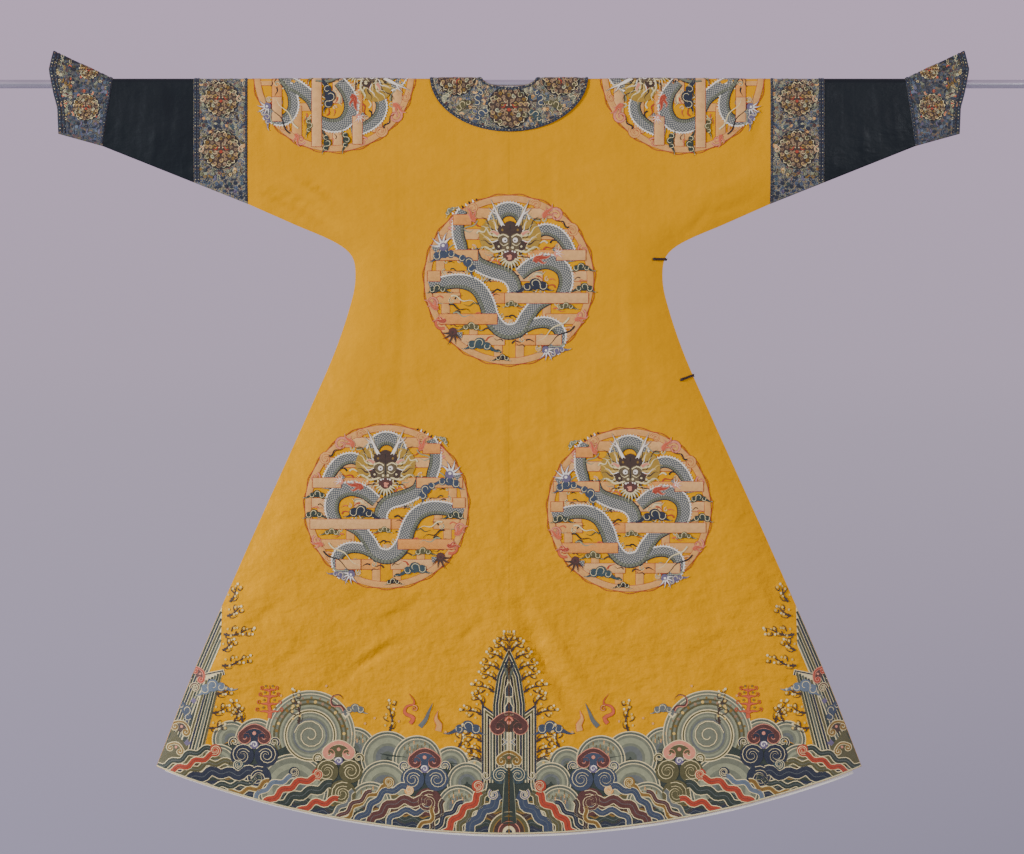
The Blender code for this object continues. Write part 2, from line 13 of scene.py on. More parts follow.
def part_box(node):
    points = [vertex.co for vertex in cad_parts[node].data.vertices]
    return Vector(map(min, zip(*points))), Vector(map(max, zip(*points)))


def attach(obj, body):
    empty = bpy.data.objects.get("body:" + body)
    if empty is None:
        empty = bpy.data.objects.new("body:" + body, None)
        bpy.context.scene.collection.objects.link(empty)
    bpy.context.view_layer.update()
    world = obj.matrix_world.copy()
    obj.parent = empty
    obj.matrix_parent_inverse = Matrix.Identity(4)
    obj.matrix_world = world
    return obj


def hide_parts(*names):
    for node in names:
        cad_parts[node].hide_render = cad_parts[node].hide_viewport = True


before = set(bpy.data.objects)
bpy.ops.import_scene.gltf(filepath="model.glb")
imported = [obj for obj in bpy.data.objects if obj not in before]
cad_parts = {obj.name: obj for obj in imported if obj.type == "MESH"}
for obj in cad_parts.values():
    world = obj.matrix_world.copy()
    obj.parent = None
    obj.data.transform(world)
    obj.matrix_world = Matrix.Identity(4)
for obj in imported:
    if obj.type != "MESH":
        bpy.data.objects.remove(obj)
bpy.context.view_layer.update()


# ======== Hanging rod ========
# A drawn steel tube, longer than the robe is wide, lies level on two wall brackets or hooks.
# It runs through both sleeves and carries the whole weight. The robe hangs down on both sides of it.

ROD_HALF, _, ROD_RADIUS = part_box("rod")[1]
ROD_CHAMFER = 0.0008
ROD_SIDES, ROD_RINGS = 128, 37
ROD_SHARP = math.radians(35)
STEEL = (0.5, 0.49, 0.53)
# Corners nearer than this are one corner
SAME_PLACE = 1e-6


def feed(made, inputs):
    """Sets a shader node's sockets by name, to a value or to another node's output."""
    for name, value in inputs.items():
        socket = made.inputs[name]
        if isinstance(value, bpy.types.NodeSocket):
            socket.id_data.links.new(value, socket)
        else:
            socket.default_value = value
    return made


def node(tree, kind, inputs, **settings):
    made = tree.nodes.new("ShaderNode" + kind)
    for name, value in settings.items():
        setattr(made, name, value)
    return feed(made, inputs)


def finish(name, inputs):
    """A new surface finish: its material, node tree and shader, and the place on the piece in metres."""
    made = bpy.data.materials.new(name)
    made.use_nodes = True
    tree = made.node_tree
    shader = feed(tree.nodes["Principled BSDF"], inputs)
    return made, tree, shader, node(tree, "TexCoord", {}).outputs["Object"]


def noise(tree, place, scale, detail=3.0, stretch=(1.0, 1.0, 1.0)):
    """Uneven cloudiness, scale times a metre, drawn out along an axis by a small stretch value."""
    moved = node(tree, "Mapping", {"Vector": place, "Scale": stretch}).outputs["Vector"]
    return node(tree, "TexNoise", {"Vector": moved, "Scale": scale, "Detail": detail}).outputs["Fac"]


def ramp(tree, value, start, end, low=0.0, high=1.0):
    """A value that runs from low to high as another runs from start to end."""
    ends = {"Value": value, "From Min": start, "From Max": end, "To Min": low, "To Max": high}
    return node(tree, "MapRange", ends).outputs["Result"]


def between(tree, share, low, high):
    """The same for cloudiness, whose values lie mostly from 0.3 to 0.7."""
    return ramp(tree, share, 0.3, 0.7, low, high)


def relief(tree, height, strength, distance, **over):
    """The surface direction that a height gives, over another relief if one is named."""
    inputs = {"Height": height, "Strength": strength, "Distance": distance, **over}
    return node(tree, "Bump", inputs).outputs["Normal"]


def blend_colours(tree, share, first, second):
    return node(tree, "MixRGB", {"Fac": share, "Color1": first, "Color2": second}).outputs["Color"]


def shade(colour, factor):
    """The same colour, lighter or darker, ready for a colour socket."""
    return (*(min(1.0, c * factor) for c in colour), 1.0)


def mottle(tree, share, colour, low, high):
    return blend_colours(tree, share, shade(colour, low), shade(colour, high))


def drawn_steel():
    made, tree, shader, place = finish("drawn_steel", {"Metallic": 0.9, "Roughness": 0.3})
    lines = noise(tree, place, 900.0, 2.0, (0.004, 1.0, 1.0))
    clouds = noise(tree, place, 14.0)
    feed(shader, {"Base Color": mottle(tree, clouds, STEEL, 0.85, 1.15)})
    feed(shader, {"Roughness": between(tree, lines, 0.24, 0.38)})
    feed(shader, {"Normal": relief(tree, lines, 0.15, 0.0002)})
    return made


def in_scene(name, data):
    made = bpy.data.objects.new(name, data)
    bpy.context.scene.collection.objects.link(made)
    return made


def add_piece(name, mesh, materials):
    """Puts a finished mesh into the scene, riding on the robe's one body."""
    for material in materials:
        mesh.materials.append(material)
    mesh.shade_smooth()
    piece = in_scene(name, mesh)
    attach(piece, "root")
    return piece


def turned(name, profile, steps, place):
    """A mesh turned round its own Z axis from (radius, height) points, then moved to its place."""
    work = bmesh.new()
    ring = [work.verts.new((radius, 0, height)) for radius, height in profile]
    edges = [work.edges.new(pair) for pair in zip(ring, ring[1:])]
    turn = {"cent": (0, 0, 0), "axis": (0, 0, 1), "angle": 2 * math.pi, "steps": steps}
    bmesh.ops.spin(work, geom=ring + edges, use_merge=True, **turn)
    bmesh.ops.remove_doubles(work, verts=work.verts, dist=SAME_PLACE)
    bmesh.ops.recalc_face_normals(work, faces=work.faces)
    work.transform(place)
    mesh = bpy.data.meshes.new(name)
    work.to_mesh(mesh)
    work.free()
    return mesh


rod_profile = [(0, -ROD_HALF), (ROD_RADIUS - ROD_CHAMFER, -ROD_HALF), (ROD_RADIUS, ROD_CHAMFER - ROD_HALF)]
rod_profile += [(ROD_RADIUS, height) for height in np.linspace(-0.9, 0.9, ROD_RINGS) * ROD_HALF]
rod_profile += [(ROD_RADIUS, ROD_HALF - ROD_CHAMFER), (ROD_RADIUS - ROD_CHAMFER, ROD_HALF), (0, ROD_HALF)]
rod_mesh = turned("hanging_rod", rod_profile, ROD_SIDES, Matrix.Rotation(math.pi / 2, 4, "Y"))
hanging_rod = add_piece("hanging_rod", rod_mesh, [drawn_steel()])
rod_mesh.set_sharp_from_angle(angle=ROD_SHARP)
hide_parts("rod")


# ======== Body lengths and front overlap ========
# Yellow silk satin in three cuts. Each length runs in one piece from the front hem over the shoulder to
# the back hem, and the two are seamed down the middle of the back. The overlap is the outer right front.
# Pale silk lines them all. Hung flat for years, the satin has soft slanting creases and a faint ripple.

WALL = 0.0016
SEAM_GAP = 0.0003
LAYER = WALL + SEAM_GAP
ROD_PLAY = 0.0005
FOLD_RADIUS = ROD_RADIUS + ROD_PLAY + WALL / 2
BEND = FOLD_RADIUS * math.pi / 2
SIDE_DEPTH = LAYER / 2
# How far in from a seam the hollow is fully open, and a crease has its full height
HOLLOW_EASE, CREASE_EASE = 0.07, 0.02

SHOULDER_HALF = 0.487
HEM_HALF = 0.658
HEM_DROP = 1.398
HEM_RISE = 0.125
ARMPIT_DROP, ARMPIT_TOP = 0.318, -0.3

SIDE_CUT = (
    # half width, height: from the sleeve seam round the armpit down to the hem corner
    (SHOULDER_HALF, -0.224), (0.401, -0.262), (0.322, -0.297), (0.293, -0.322), (0.2865, -0.357),
    (0.2925, -0.4), (0.324, -0.497), (0.3725, -0.609), (0.4985, -0.889), (0.5955, -1.113),
    (HEM_HALF, HEM_RISE - HEM_DROP),
)
SLEEVE_UNDERSIDE = ((0.841, -0.093), (0.758, -0.116))

# Neck hole and the band round it: half width, and reach down the back and down the front
NECK_HALF, NECK_BACK, NECK_FRONT = 0.052, 0.0215, 0.104
COLLAR_HALF, COLLAR_BACK, COLLAR_FRONT = 0.148, 0.1045, 0.164
COLLAR_END, COLLAR_TUCK = 0.012, 0.012
OVERLAP_BAND = COLLAR_FRONT - NECK_FRONT

HOLLOW = (
    # height, half depth of the hollow between front and back
    (0.0, FOLD_RADIUS), (-0.15, 0.0105), (-0.6, 0.0125), (-1.4, 0.015),
)
FOLDS = (
    # face (1 back, -1 front), then in mm: x at the hem, x and height where it fades, half width, rise
    (1, -470, -260, -600, 95, 3.2), (1, -260, -130, -780, 85, -2.6), (1, -40, -20, -950, 80, 2.2),
    (1, 190, 110, -750, 85, -3), (1, 430, 240, -580, 95, 3.4), (-1, -400, -220, -620, 95, 3),
    (-1, -150, -80, -800, 85, -2.6), (-1, 120, 70, -720, 85, 2.4), (-1, 380, 210, -660, 95, -2.8),
)
CREASES = (
    # face, then in mm: start x and z, end x and z, bow to one side, half width, rise (a trough below 0)
    (1, -318, -1118, -200, -1040, 6, 13, -1.7), (1, -296, -1086, -178, -1018, 8, 18, 1.2),
    (1, 12, -975, 136, -1186, -6, 16, -3), (1, 48, -965, 170, -1170, -8, 18, 2),
    (1, 4, -925, 70, -1060, -4, 12, -1.6), (1, -170, -1120, -88, -1232, 6, 13, -1.3),
    (1, -205, -1120, -130, -1225, 4, 16, 0.9), (1, -442, -1090, -366, -1050, 3, 11, -1.1),
    (1, -515, -1045, -405, -958, 7, 15, -0.9), (1, -345, -985, -255, -945, -5, 12, -0.8),
    (1, -110, -1060, -30, -990, 5, 12, -0.8), (1, 185, -975, 262, -1010, 3, 12, -1.8),
    (1, 300, -1030, 430, -1094, 6, 14, -1.9), (1, 315, -1070, 400, -1120, 4, 15, 0.9),
    (1, 180, -1080, 265, -1150, 4, 12, -1.6), (1, 470, -815, 556, -982, 4, 12, 1.1),
    (1, 450, -860, 530, -1040, 4, 12, -1), (1, -474, -196, -310, -276, 6, 12, -3.4),
    (1, -440, -170, -322, -232, 8, 14, 1.4), (1, -395, -178, -315, -228, 6, 9, -1.6),
    (1, 318, -288, 382, -215, -6, 10, -0.6), (1, 352, -246, 470, -206, -6, 12, -0.9),
    (1, 345, -205, 455, -172, -5, 14, 0.6), (1, -474, -34, -446, -122, 2, 9, -0.7),
    (1, 474, -40, 452, -128, 2, 9, -0.7), (1, -41, -115, -36, -285, 2, 12, -0.5),
    (1, -95, -120, -100, -330, 3, 14, 0.5), (1, 72, -130, 80, -330, 3, 13, -0.5),
    (1, 215, -300, 225, -610, 4, 16, 0.5), (1, -195, -330, -210, -650, 4, 16, -0.5),
    (1, -12, -560, -20, -900, 3, 14, 0.6), (1, 80, -520, 96, -700, 3, 13, -0.5),
    (1, 340, -960, 395, -1015, 3, 13, -1.2), (1, 225, -1020, 300, -1062, 3, 12, 1.2),
    (1, -240, -1000, -150, -955, -4, 14, -1), (1, 120, -960, 190, -1060, 4, 14, 1.2),
    (-1, -310, -1010, -190, -1130, 7, 14, -1.5), (-1, -275, -995, -150, -1110, 6, 18, 1.1),
    (-1, 50, -1150, 150, -1000, 6, 13, -1.4), (-1, 170, -1110, 280, -960, 8, 16, -1.1),
    (-1, 420, -1060, 330, -960, 4, 12, -1), (-1, -500, -1020, -420, -930, 5, 13, -1),
    (-1, -90, -980, -20, -1100, 4, 12, -0.9), (-1, -240, -660, -330, -800, 4, 14, 0.7),
    (-1, 250, -600, 330, -760, 5, 14, -0.7), (-1, 470, -188, 322, -270, -10, 12, -1.7),
    (-1, -470, -196, -330, -268, 10, 12, -1.8), (-1, -440, -172, -330, -226, 8, 13, 1.2),
    (-1, -220, -270, -200, -480, 4, 15, -0.6), (-1, 215, -360, 210, -560, 4, 15, -0.6),
    (-1, 30, -640, 20, -860, 4, 14, 0.6),
)

CREASE_DEPTH = 3.0
GRID, SEAM_STEP = 0.009, 0.035
NECK_POINTS, COLLAR_POINTS, OVERLAP_POINTS = 60, 110, 46
FOLD_ROWS = 17
BEND_STRETCH = 5.0
CLOTH_SHARP = math.radians(50)
YELLOW = (0.494, 0.229, 0.0001)
LINING_PALE = (0.5, 0.49, 0.435)


def metres(rows, lengths=3, after=0):
    """The rows of a table with their run of lengths in metres instead of millimetres."""
    last = after + lengths
    return [(*row[:after], *(size / 1000 for size in row[after:last]), *row[last:]) for row in rows]


def smooth_step(t):
    t = np.clip(t, 0.0, 1.0)
    return t * t * (3.0 - 2.0 * t)


def smooth_line(corners, step):
    """A rounded line through the corners, cut into steps."""
    corners = np.array(corners, float)
    ends = np.vstack([2 * corners[0] - corners[1], corners, 2 * corners[-1] - corners[-2]])
    line = [corners[0]]
    for before, start, end, after in zip(ends, ends[1:], ends[2:], ends[3:]):
        chord = np.linalg.norm(end - start)
        count = max(1, round(chord / step))
        leave = (end - before) / np.linalg.norm(end - before) * chord
        arrive = (after - start) / np.linalg.norm(after - start) * chord
        for t in np.arange(1, count + 1) / count:
            hold = (2 * t**3 - 3 * t**2 + 1) * start + (3 * t**2 - 2 * t**3) * end
            line.append(hold + (t**3 - 2 * t**2 + t) * leave + (t**3 - t**2) * arrive)
    return np.array(line)


def straight_line(start, end, step):
    start, end = np.array(start, float), np.array(end, float)
    count = max(1, round(np.linalg.norm(end - start) / step))
    return start + (end - start) * np.linspace(0, 1, count + 1)[:, None]


def oval(half, back, front, count):
    """A closed oval round the neck, with its own reach down the back and down the front."""
    turn = np.arange(count) / count * 2 * math.pi
    reach = np.where(np.sin(turn) > 0, back, front)
    return np.stack([half * np.cos(turn), reach * np.sin(turn)], 1)


def closed(line):
    return np.vstack([line, line[:1]])


def inside(x, s, border):
    """Which points lie inside a closed border."""
    found = np.zeros(np.shape(x), bool)
    for (xa, sa), (xb, sb) in zip(border, np.roll(border, -1, 0)):
        if sa != sb:
            found ^= ((sa > s) != (sb > s)) & (x < xa + (s - sa) * (xb - xa) / (sb - sa))
    return found


def distance_to(x, z, line):
    """How far each point lies from a line of straight stretches."""
    nearest = np.full(np.shape(x), np.inf)
    for (xa, za), (xb, zb) in zip(line, line[1:]):
        run_x, run_z = xb - xa, zb - za
        along = np.clip(((x - xa) * run_x + (z - za) * run_z) / (run_x**2 + run_z**2), 0, 1)
        nearest = np.minimum(nearest, np.hypot(x - xa - along * run_x, z - za - along * run_z))
    return nearest


def hem_s(x):
    return BEND + HEM_DROP - HEM_RISE * (x / HEM_HALF) ** 2


SIDE_LINE = smooth_line(SIDE_CUT, GRID)
SEAM_LINE = np.vstack([SLEEVE_UNDERSIDE, smooth_line(SIDE_CUT, SEAM_STEP)])
NECK_HOLE = oval(NECK_HALF, NECK_BACK, NECK_FRONT, NECK_POINTS)
COLLAR_EDGE = oval(COLLAR_HALF, COLLAR_BACK, COLLAR_FRONT, COLLAR_POINTS)


def side_x(z):
    """Half width of the body below the armpit at a height."""
    low = SIDE_LINE[SIDE_LINE[:, 1] < ARMPIT_TOP][::-1]
    return np.interp(z, low[:, 1], low[:, 0])


ARMPIT_X = side_x(-ARMPIT_DROP)


def overlap_edge(x):
    """The overlap's curved edge: out from the neck, down the chest and out to the armpit."""
    fall = BEND + ARMPIT_DROP - NECK_FRONT
    return -NECK_FRONT - fall * smooth_step(x / ARMPIT_X)


def overlap_lines():
    """The curved edge, and the lower edge of the band that is sewn along it."""
    x = np.linspace(0, ARMPIT_X, OVERLAP_POINTS)
    edge = np.stack([x, overlap_edge(x)], 1)
    run = np.gradient(edge, axis=0)
    down = np.stack([run[:, 1], -run[:, 0]], 1)
    down /= np.linalg.norm(down, axis=1)[:, None]
    lower = edge + OVERLAP_BAND * down
    lower[0, 0] = 0.0
    return edge, lower


OVERLAP_EDGE, OVERLAP_LOWER = overlap_lines()


def creased(x, z, face):
    """How far the creases of a face lift the cloth or let it sink."""
    total = np.zeros(np.shape(x))
    for side, x0, z0, x1, z1, bow, width, rise in metres(CREASES, 7, 1):
        length = math.hypot(x1 - x0, z1 - z0)
        along = ((x - x0) * (x1 - x0) + (z - z0) * (z1 - z0)) / length**2
        aside = ((z - z0) * (x1 - x0) - (x - x0) * (z1 - z0)) / length
        aside = aside - bow * 4 * along * (1 - along)
        across = np.clip(np.abs(aside) / (width * (0.6 + 0.8 * np.clip(along, 0, 1))), 0, 1)
        fade = np.sin(math.pi * np.clip(along, 0, 1))
        total = total + (face == side) * CREASE_DEPTH * rise * np.cos(across * math.pi / 2) ** 2 * fade
    return total


def half_depth(x, z, face):
    """How far the wall's middle stands from the robe's middle plane."""
    heights, depths = zip(*reversed(HOLLOW))
    full = np.interp(z, heights, depths)
    for side, hem_x, fade_x, fade_z, width, rise in metres(FOLDS, 5, 1):
        down = np.clip((fade_z - z) / (fade_z + HEM_DROP), 0, 1)
        line = fade_x + (hem_x - fade_x) * down
        across = np.clip(np.abs(x - line) / width, 0, 1)
        full = full + (face == side) * rise * down * np.cos(across * math.pi / 2) ** 2
    near = distance_to(np.abs(x), z, SEAM_LINE)
    hung = SIDE_DEPTH + (full - SIDE_DEPTH) * np.sin(np.clip(near / HOLLOW_EASE, 0, 1) * math.pi / 2)
    return np.maximum(hung + creased(x, z, face) * smooth_step(near / CREASE_EASE), SIDE_DEPTH)


def over_rod(x, s, lift):
    """Where a point of the flat cloth hangs. lift is measured outwards from the wall's middle."""
    face = np.where(s < 0, -1.0, 1.0)
    turn = np.minimum(np.abs(s), BEND) / FOLD_RADIUS
    drop = np.maximum(np.abs(s) - BEND, 0)
    out = np.where(drop > 0, half_depth(x, -drop, face), FOLD_RADIUS)
    y = -face * (out + lift) * np.sin(turn)
    z = (FOLD_RADIUS + lift) * np.cos(turn) - drop
    return np.stack([x, y, z], -1)


def layers_up(count):
    """The level of cloth that lies flat on so many others."""
    return lambda x, s: np.full(np.shape(x), count * LAYER)


# Over what length below the rod, and in from the side seam, the left front comes forward
FORWARD_DOWN, FORWARD_IN = 0.06, 0.1


def level_left(x, s):
    """The left front comes forward by one layer near the middle, where it meets the overlap."""
    below = smooth_step((-s - BEND) / FORWARD_DOWN)
    inward = smooth_step(distance_to(np.abs(x), BEND - np.abs(s), SEAM_LINE) / FORWARD_IN)
    return np.where(x < 0, LAYER * below * inward, 0.0)


def on_overlap(x, s):
    """Which points of the flat cloth lie under the outer right front."""
    return (x > 0) & (s < 0) & (s < overlap_edge(x)) & ((x < ARMPIT_X) | (s < -ARMPIT_DROP))


def stretch(s, factor):
    """Widens the narrow bend over the rod, so that the sheet divides into even triangles."""
    return np.sign(s) * (np.minimum(np.abs(s), BEND) * factor + np.maximum(np.abs(s) - BEND, 0))


def unstretch(s):
    wide = BEND * BEND_STRETCH
    return np.sign(s) * (np.minimum(np.abs(s), wide) / BEND_STRETCH + np.maximum(np.abs(s) - wide, 0))


def body_border():
    """The outline of the whole body, front and back, opened out flat."""
    side = SIDE_LINE * [1, -1] + [0, BEND]
    hem_x = np.linspace(HEM_HALF, -HEM_HALF, round(2 * HEM_HALF / GRID) + 1)[1:-1]
    back = np.vstack([side, np.stack([hem_x, hem_s(hem_x)], 1), (side * [-1, 1])[::-1]])
    sleeve_end = straight_line(side[0] * [-1, 1], side[0] * [-1, -1], GRID)[1:-1]
    half = np.vstack([back, sleeve_end])
    return np.vstack([half, half * -1])


LINING_DEEP = 0.05
LINING_INSET = 0.016


def lining_border():
    """The strip inside the back hem, clear of the side seams."""
    low_x = HEM_HALF - LINING_INSET
    high_x = side_x(HEM_RISE - HEM_DROP + LINING_DEEP) - LINING_INSET
    count = round(2 * low_x / GRID) + 1
    low = np.linspace(low_x, -low_x, count)
    high = np.linspace(-high_x, high_x, count)
    return np.vstack([np.stack([low, hem_s(low)], 1), np.stack([high, hem_s(high) - LINING_DEEP], 1)])


def seam_lines(border):
    """Every line that a piece of the body ends on."""
    back, front = hem_s(0.0), -hem_s(0.0)
    collar_end = overlap_edge(COLLAR_END)
    lines = [
        closed(border),
        closed(NECK_HOLE),
        closed(COLLAR_EDGE),
        straight_line((0, NECK_BACK), (0, back), GRID),
        straight_line((0, -NECK_FRONT), (0, front), GRID),
        OVERLAP_EDGE,
        OVERLAP_LOWER,
        straight_line((COLLAR_END, collar_end), (COLLAR_END, collar_end + COLLAR_TUCK), GRID),
        closed(lining_border()),
    ]
    for row in np.linspace(-BEND, BEND, FOLD_ROWS):
        lines.append(straight_line((-SHOULDER_HALF, row), (SHOULDER_HALF, row), GRID))
    return lines


def robe_sheet():
    """All the body's cloth as one flat sheet: its points, and its triangles wound the same way."""
    border = body_border()
    lines = seam_lines(border)
    across = np.arange(-HEM_HALF, HEM_HALF, GRID) + GRID / 2
    along = np.arange(GRID * 0.8, HEM_DROP, GRID) + BEND
    x, s = np.meshgrid(across, np.concatenate([-along[::-1], along]))
    keep = inside(x, s, border) & ~inside(x, s, NECK_HOLE)
    filling = np.stack([x[keep], s[keep]], 1)
    points, edges = [], []
    for line in lines:
        first = len(points)
        points.extend(line.tolist())
        edges.extend((first + i, first + i + 1) for i in range(len(line) - 1))
    nearest = KDTree(len(points))
    for index, (px, ps) in enumerate(points):
        nearest.insert((px, ps, 0), index)
    nearest.balance()
    points += [p for p in filling.tolist() if nearest.find((*p, 0))[2] > GRID * 0.5]
    points = np.array(points)
    flat = np.stack([points[:, 0], stretch(points[:, 1], BEND_STRETCH)], 1)
    found, _, faces, *_ = delaunay_2d_cdt([Vector(p) for p in flat.tolist()], edges, [], 0, 1e-5)
    sheet = np.array([(p.x, unstretch(p.y)) for p in found])
    triangles = np.array([f for f in faces if len(f) == 3])
    a, b, c = (sheet[triangles[:, i]] for i in range(3))
    turned_over = across_product(b - a, c - a) < 0
    triangles[turned_over] = triangles[turned_over][:, ::-1]
    x, s = ((a + b + c) / 3).T
    keep = inside(x, s, border) & ~inside(x, s, NECK_HOLE)
    return sheet, triangles[keep]


def across_product(first, second):
    return first[:, 0] * second[:, 1] - first[:, 1] * second[:, 0]


def border_edges(triangles):
    """Edges that only one triangle has, in that triangle's winding."""
    edges = np.vstack([triangles[:, [0, 1]], triangles[:, [1, 2]], triangles[:, [2, 0]]])
    known = {(a, b) for a, b in edges.tolist()}
    return np.array([(a, b) for a, b in edges.tolist() if (b, a) not in known])


# Square of the two edges' joint direction, below which a border point lies in a slit and stays put
SLIT = 0.05


def pull_in(flat, edges, amount):
    """Moves a piece's border inwards, so that neighbours stand apart by the seam gap."""
    run = flat[edges[:, 1]] - flat[edges[:, 0]]
    inward = np.stack([-run[:, 1], run[:, 0]], 1) / np.linalg.norm(run, axis=1)[:, None]
    total = np.zeros_like(flat)
    np.add.at(total, edges[:, 0], inward)
    np.add.at(total, edges[:, 1], inward)
    size = (total**2).sum(1)
    move = size > SLIT
    moved = flat.copy()
    moved[move] += amount * 2 * total[move] / size[move][:, None]
    return moved


ROBE_POINTS, ROBE_TRIANGLES = robe_sheet()


def mesh_of(name, points, faces):
    mesh = bpy.data.meshes.new(name)
    mesh.from_pydata(points.tolist(), [], faces)
    return mesh


def lined_piece(name, points, faces, is_lining, outside):
    """Cloth with pale silk inside, in place of the solid that it is named after with one more word."""
    mesh = mesh_of(name, points, faces)
    piece = add_piece(name, mesh, [outside, lining_silk])
    mesh.polygons.foreach_set("material_index", is_lining)
    mesh.set_sharp_from_angle(angle=CLOTH_SHARP)
    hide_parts(name.rpartition("_")[0])
    return piece


def cut_piece(name, region, level, outside, reshape=None):
    """A lined piece of cloth over the sheet's triangles in a region."""
    x, s = ROBE_POINTS[ROBE_TRIANGLES].mean(1).T
    chosen = ROBE_TRIANGLES[region(x, s)]
    used, chosen = np.unique(chosen, return_inverse=True)
    chosen = chosen.reshape(-1, 3)
    edges = border_edges(chosen)
    flat = pull_in(ROBE_POINTS[used], edges, SEAM_GAP / 2)
    if reshape:
        flat = reshape(flat)
    lift = level(flat[:, 0], flat[:, 1])
    outer = over_rod(flat[:, 0], flat[:, 1], lift + WALL / 2)
    inner = over_rod(flat[:, 0], flat[:, 1], lift - WALL / 2)
    count = len(flat)
    faces = [(a, c, b) for a, b, c in chosen.tolist()]
    faces += [(a, b, b + count, a + count) for a, b in edges.tolist()]
    is_lining = [0] * len(faces) + [1] * len(chosen)
    faces += [(a + count, b + count, c + count) for a, b, c in chosen.tolist()]
    piece = lined_piece(name, np.vstack([outer, inner]), faces, is_lining, outside)
    return piece


def ribs(tree, place, scale, direction, **more):
    """Even ridges in one direction: threads, plies or rows of stitches."""
    inputs = {"Vector": place, "Scale": scale, **more}
    return node(tree, "TexWave", inputs, bands_direction=direction).outputs["Fac"]


def product(tree, first, second):
    return node(tree, "Math", {0: first, 1: second}, operation="MULTIPLY").outputs[0]


def satin(name, colour, roughness, wear, tint):
    """Silk satin: long warp floats that shine, faint streaks down the warp and soft cloudy wear."""
    made, tree, shader, place = finish(name, {"Sheen Weight": 0.0})
    feed(shader, {"Specular IOR Level": 0.22, "Specular Tint": shade(tint, 1.0)})
    streaks = noise(tree, place, 95.0, 3.0, (1.0, 1.0, 0.012))
    clouds = noise(tree, place, 11.0, 5.0)
    spots = noise(tree, place, 60.0, 4.0)
    toned = mottle(tree, between(tree, clouds, 0.0, 1.0), colour, 1 - wear, 1.03)
    toned = blend_colours(tree, between(tree, streaks, 0.0, 0.35), toned, shade(colour, 1 + wear))
    toned = blend_colours(tree, between(tree, spots, 0.0, 0.22), toned, shade(colour, 1 - 2 * wear))
    dull = between(tree, clouds, roughness - 0.05, roughness + 0.07)
    feed(shader, {"Base Color": toned, "Roughness": dull})
    warp = ribs(tree, place, 500.0, "X", Distortion=1.5, Detail=1.0)
    surface = relief(tree, warp, 0.12, 0.0001)
    height = node(tree, "SeparateXYZ", {"Vector": place}).outputs["Z"]
    slack = ramp(tree, height, -0.45, -1.05, 0.3, 1.0)
    crumple = product(tree, noise(tree, place, 24.0, 3.0, (0.8, 1.0, 1.2)), slack)
    surface = relief(tree, crumple, 0.7, 0.012, Normal=surface)
    pucker = product(tree, noise(tree, place, 60.0, 3.0), slack)
    surface = relief(tree, pucker, 0.5, 0.0044, Normal=surface)
    feed(shader, {"Normal": relief(tree, streaks, 0.4, 0.0006, Normal=surface)})
    return made


def plain_silk(name, colour):
    """Plain-woven silk: an even dull weave, a little uneven in colour."""
    made, tree, shader, place = finish(name, {"Roughness": 0.62, "Sheen Weight": 0.15})
    clouds = noise(tree, place, 17.0, 4.0)
    feed(shader, {"Base Color": mottle(tree, clouds, colour, 0.88, 1.1)})
    weave = product(tree, ribs(tree, place, 420.0, "X"), ribs(tree, place, 420.0, "Z"))
    feed(shader, {"Normal": relief(tree, weave, 0.2, 0.0001)})
    return made


yellow_satin = satin("yellow_satin", YELLOW, 0.47, 0.06, (1.0, 0.45, 0.02))
lining_silk = plain_silk("lining_silk", LINING_PALE)

left_length = cut_piece("left_length_satin", lambda x, s: x < 0, level_left, yellow_satin)
right_length = cut_piece("right_length_satin", lambda x, s: x > 0, layers_up(0), yellow_satin)
front_overlap = cut_piece("front_overlap_satin", on_overlap, layers_up(1), yellow_satin)


TURNING_HALF, TURNING_STEP, TURNING_SHY = 0.006, 0.004, 0.003


def seam_turning(name, onto, level, start, end):
    """The turned-in edges of the satin at a middle seam: a narrow strip between satin and lining."""
    s = np.arange(start, end, math.copysign(TURNING_STEP, end - start))
    count = len(s)
    x = np.repeat([-TURNING_HALF, 0.0, TURNING_HALF], count)
    s = np.tile(s, 3)
    points = over_rod(x, s, level)
    rows = [(i + j * count, i + 1 + j * count) for j in range(2) for i in range(count - 1)]
    faces = [(a, b, b + count, a + count) for a, b in rows]
    add_piece(name, mesh_of(name, points, faces), [yellow_satin]).parent = onto


hem_end = hem_s(0.0) - TURNING_SHY
seam_turning("back_seam_turning", left_length, 0.0, NECK_BACK + TURNING_SHY, hem_end)
seam_turning("front_seam_turning", left_length, LAYER, -COLLAR_FRONT, -hem_end)


# ======== Collar and overlap bands ========
# A shaped band of dark patterned silk is sewn flat round the neck, and a like band runs along the
# overlap's curved edge to the armpit. Their navy ground has a fine woven figure under the motifs.

NAVY_GROUND = (0.016, 0.022, 0.04)
HEM_SHY = 0.0008


def level_collar(x, s):
    return LAYER + level_left(x, s)


def on_collar(x, s):
    """Which points of the flat cloth the collar band covers."""
    ring = inside(x, s, COLLAR_EDGE) & ~inside(x, s, NECK_HOLE)
    covered = (x > 0) & (s < 0) & ((s < overlap_edge(x)) | (x < COLLAR_END))
    return ring & ~covered


def on_overlap_band(x, s):
    over_cloth = x < side_x(BEND - np.abs(s)) - HEM_SHY
    return inside(x, s, np.vstack([OVERLAP_EDGE, OVERLAP_LOWER[::-1]])) & over_cloth


GROUND_FIGURE = 0.0042
GROUND_SHADES = (
    # share of the cells from here up, then red, green and blue in thousandths
    (0.0, 11, 16, 36), (0.26, 28, 46, 100), (0.4, 70, 66, 22), (0.5, 18, 40, 46),
    (0.6, 130, 82, 30), (0.68, 70, 100, 120), (0.76, 10, 12, 18), (0.92, 80, 26, 20),
)
FIGURE_EDGE = (0.34, 0.29, 0.13)


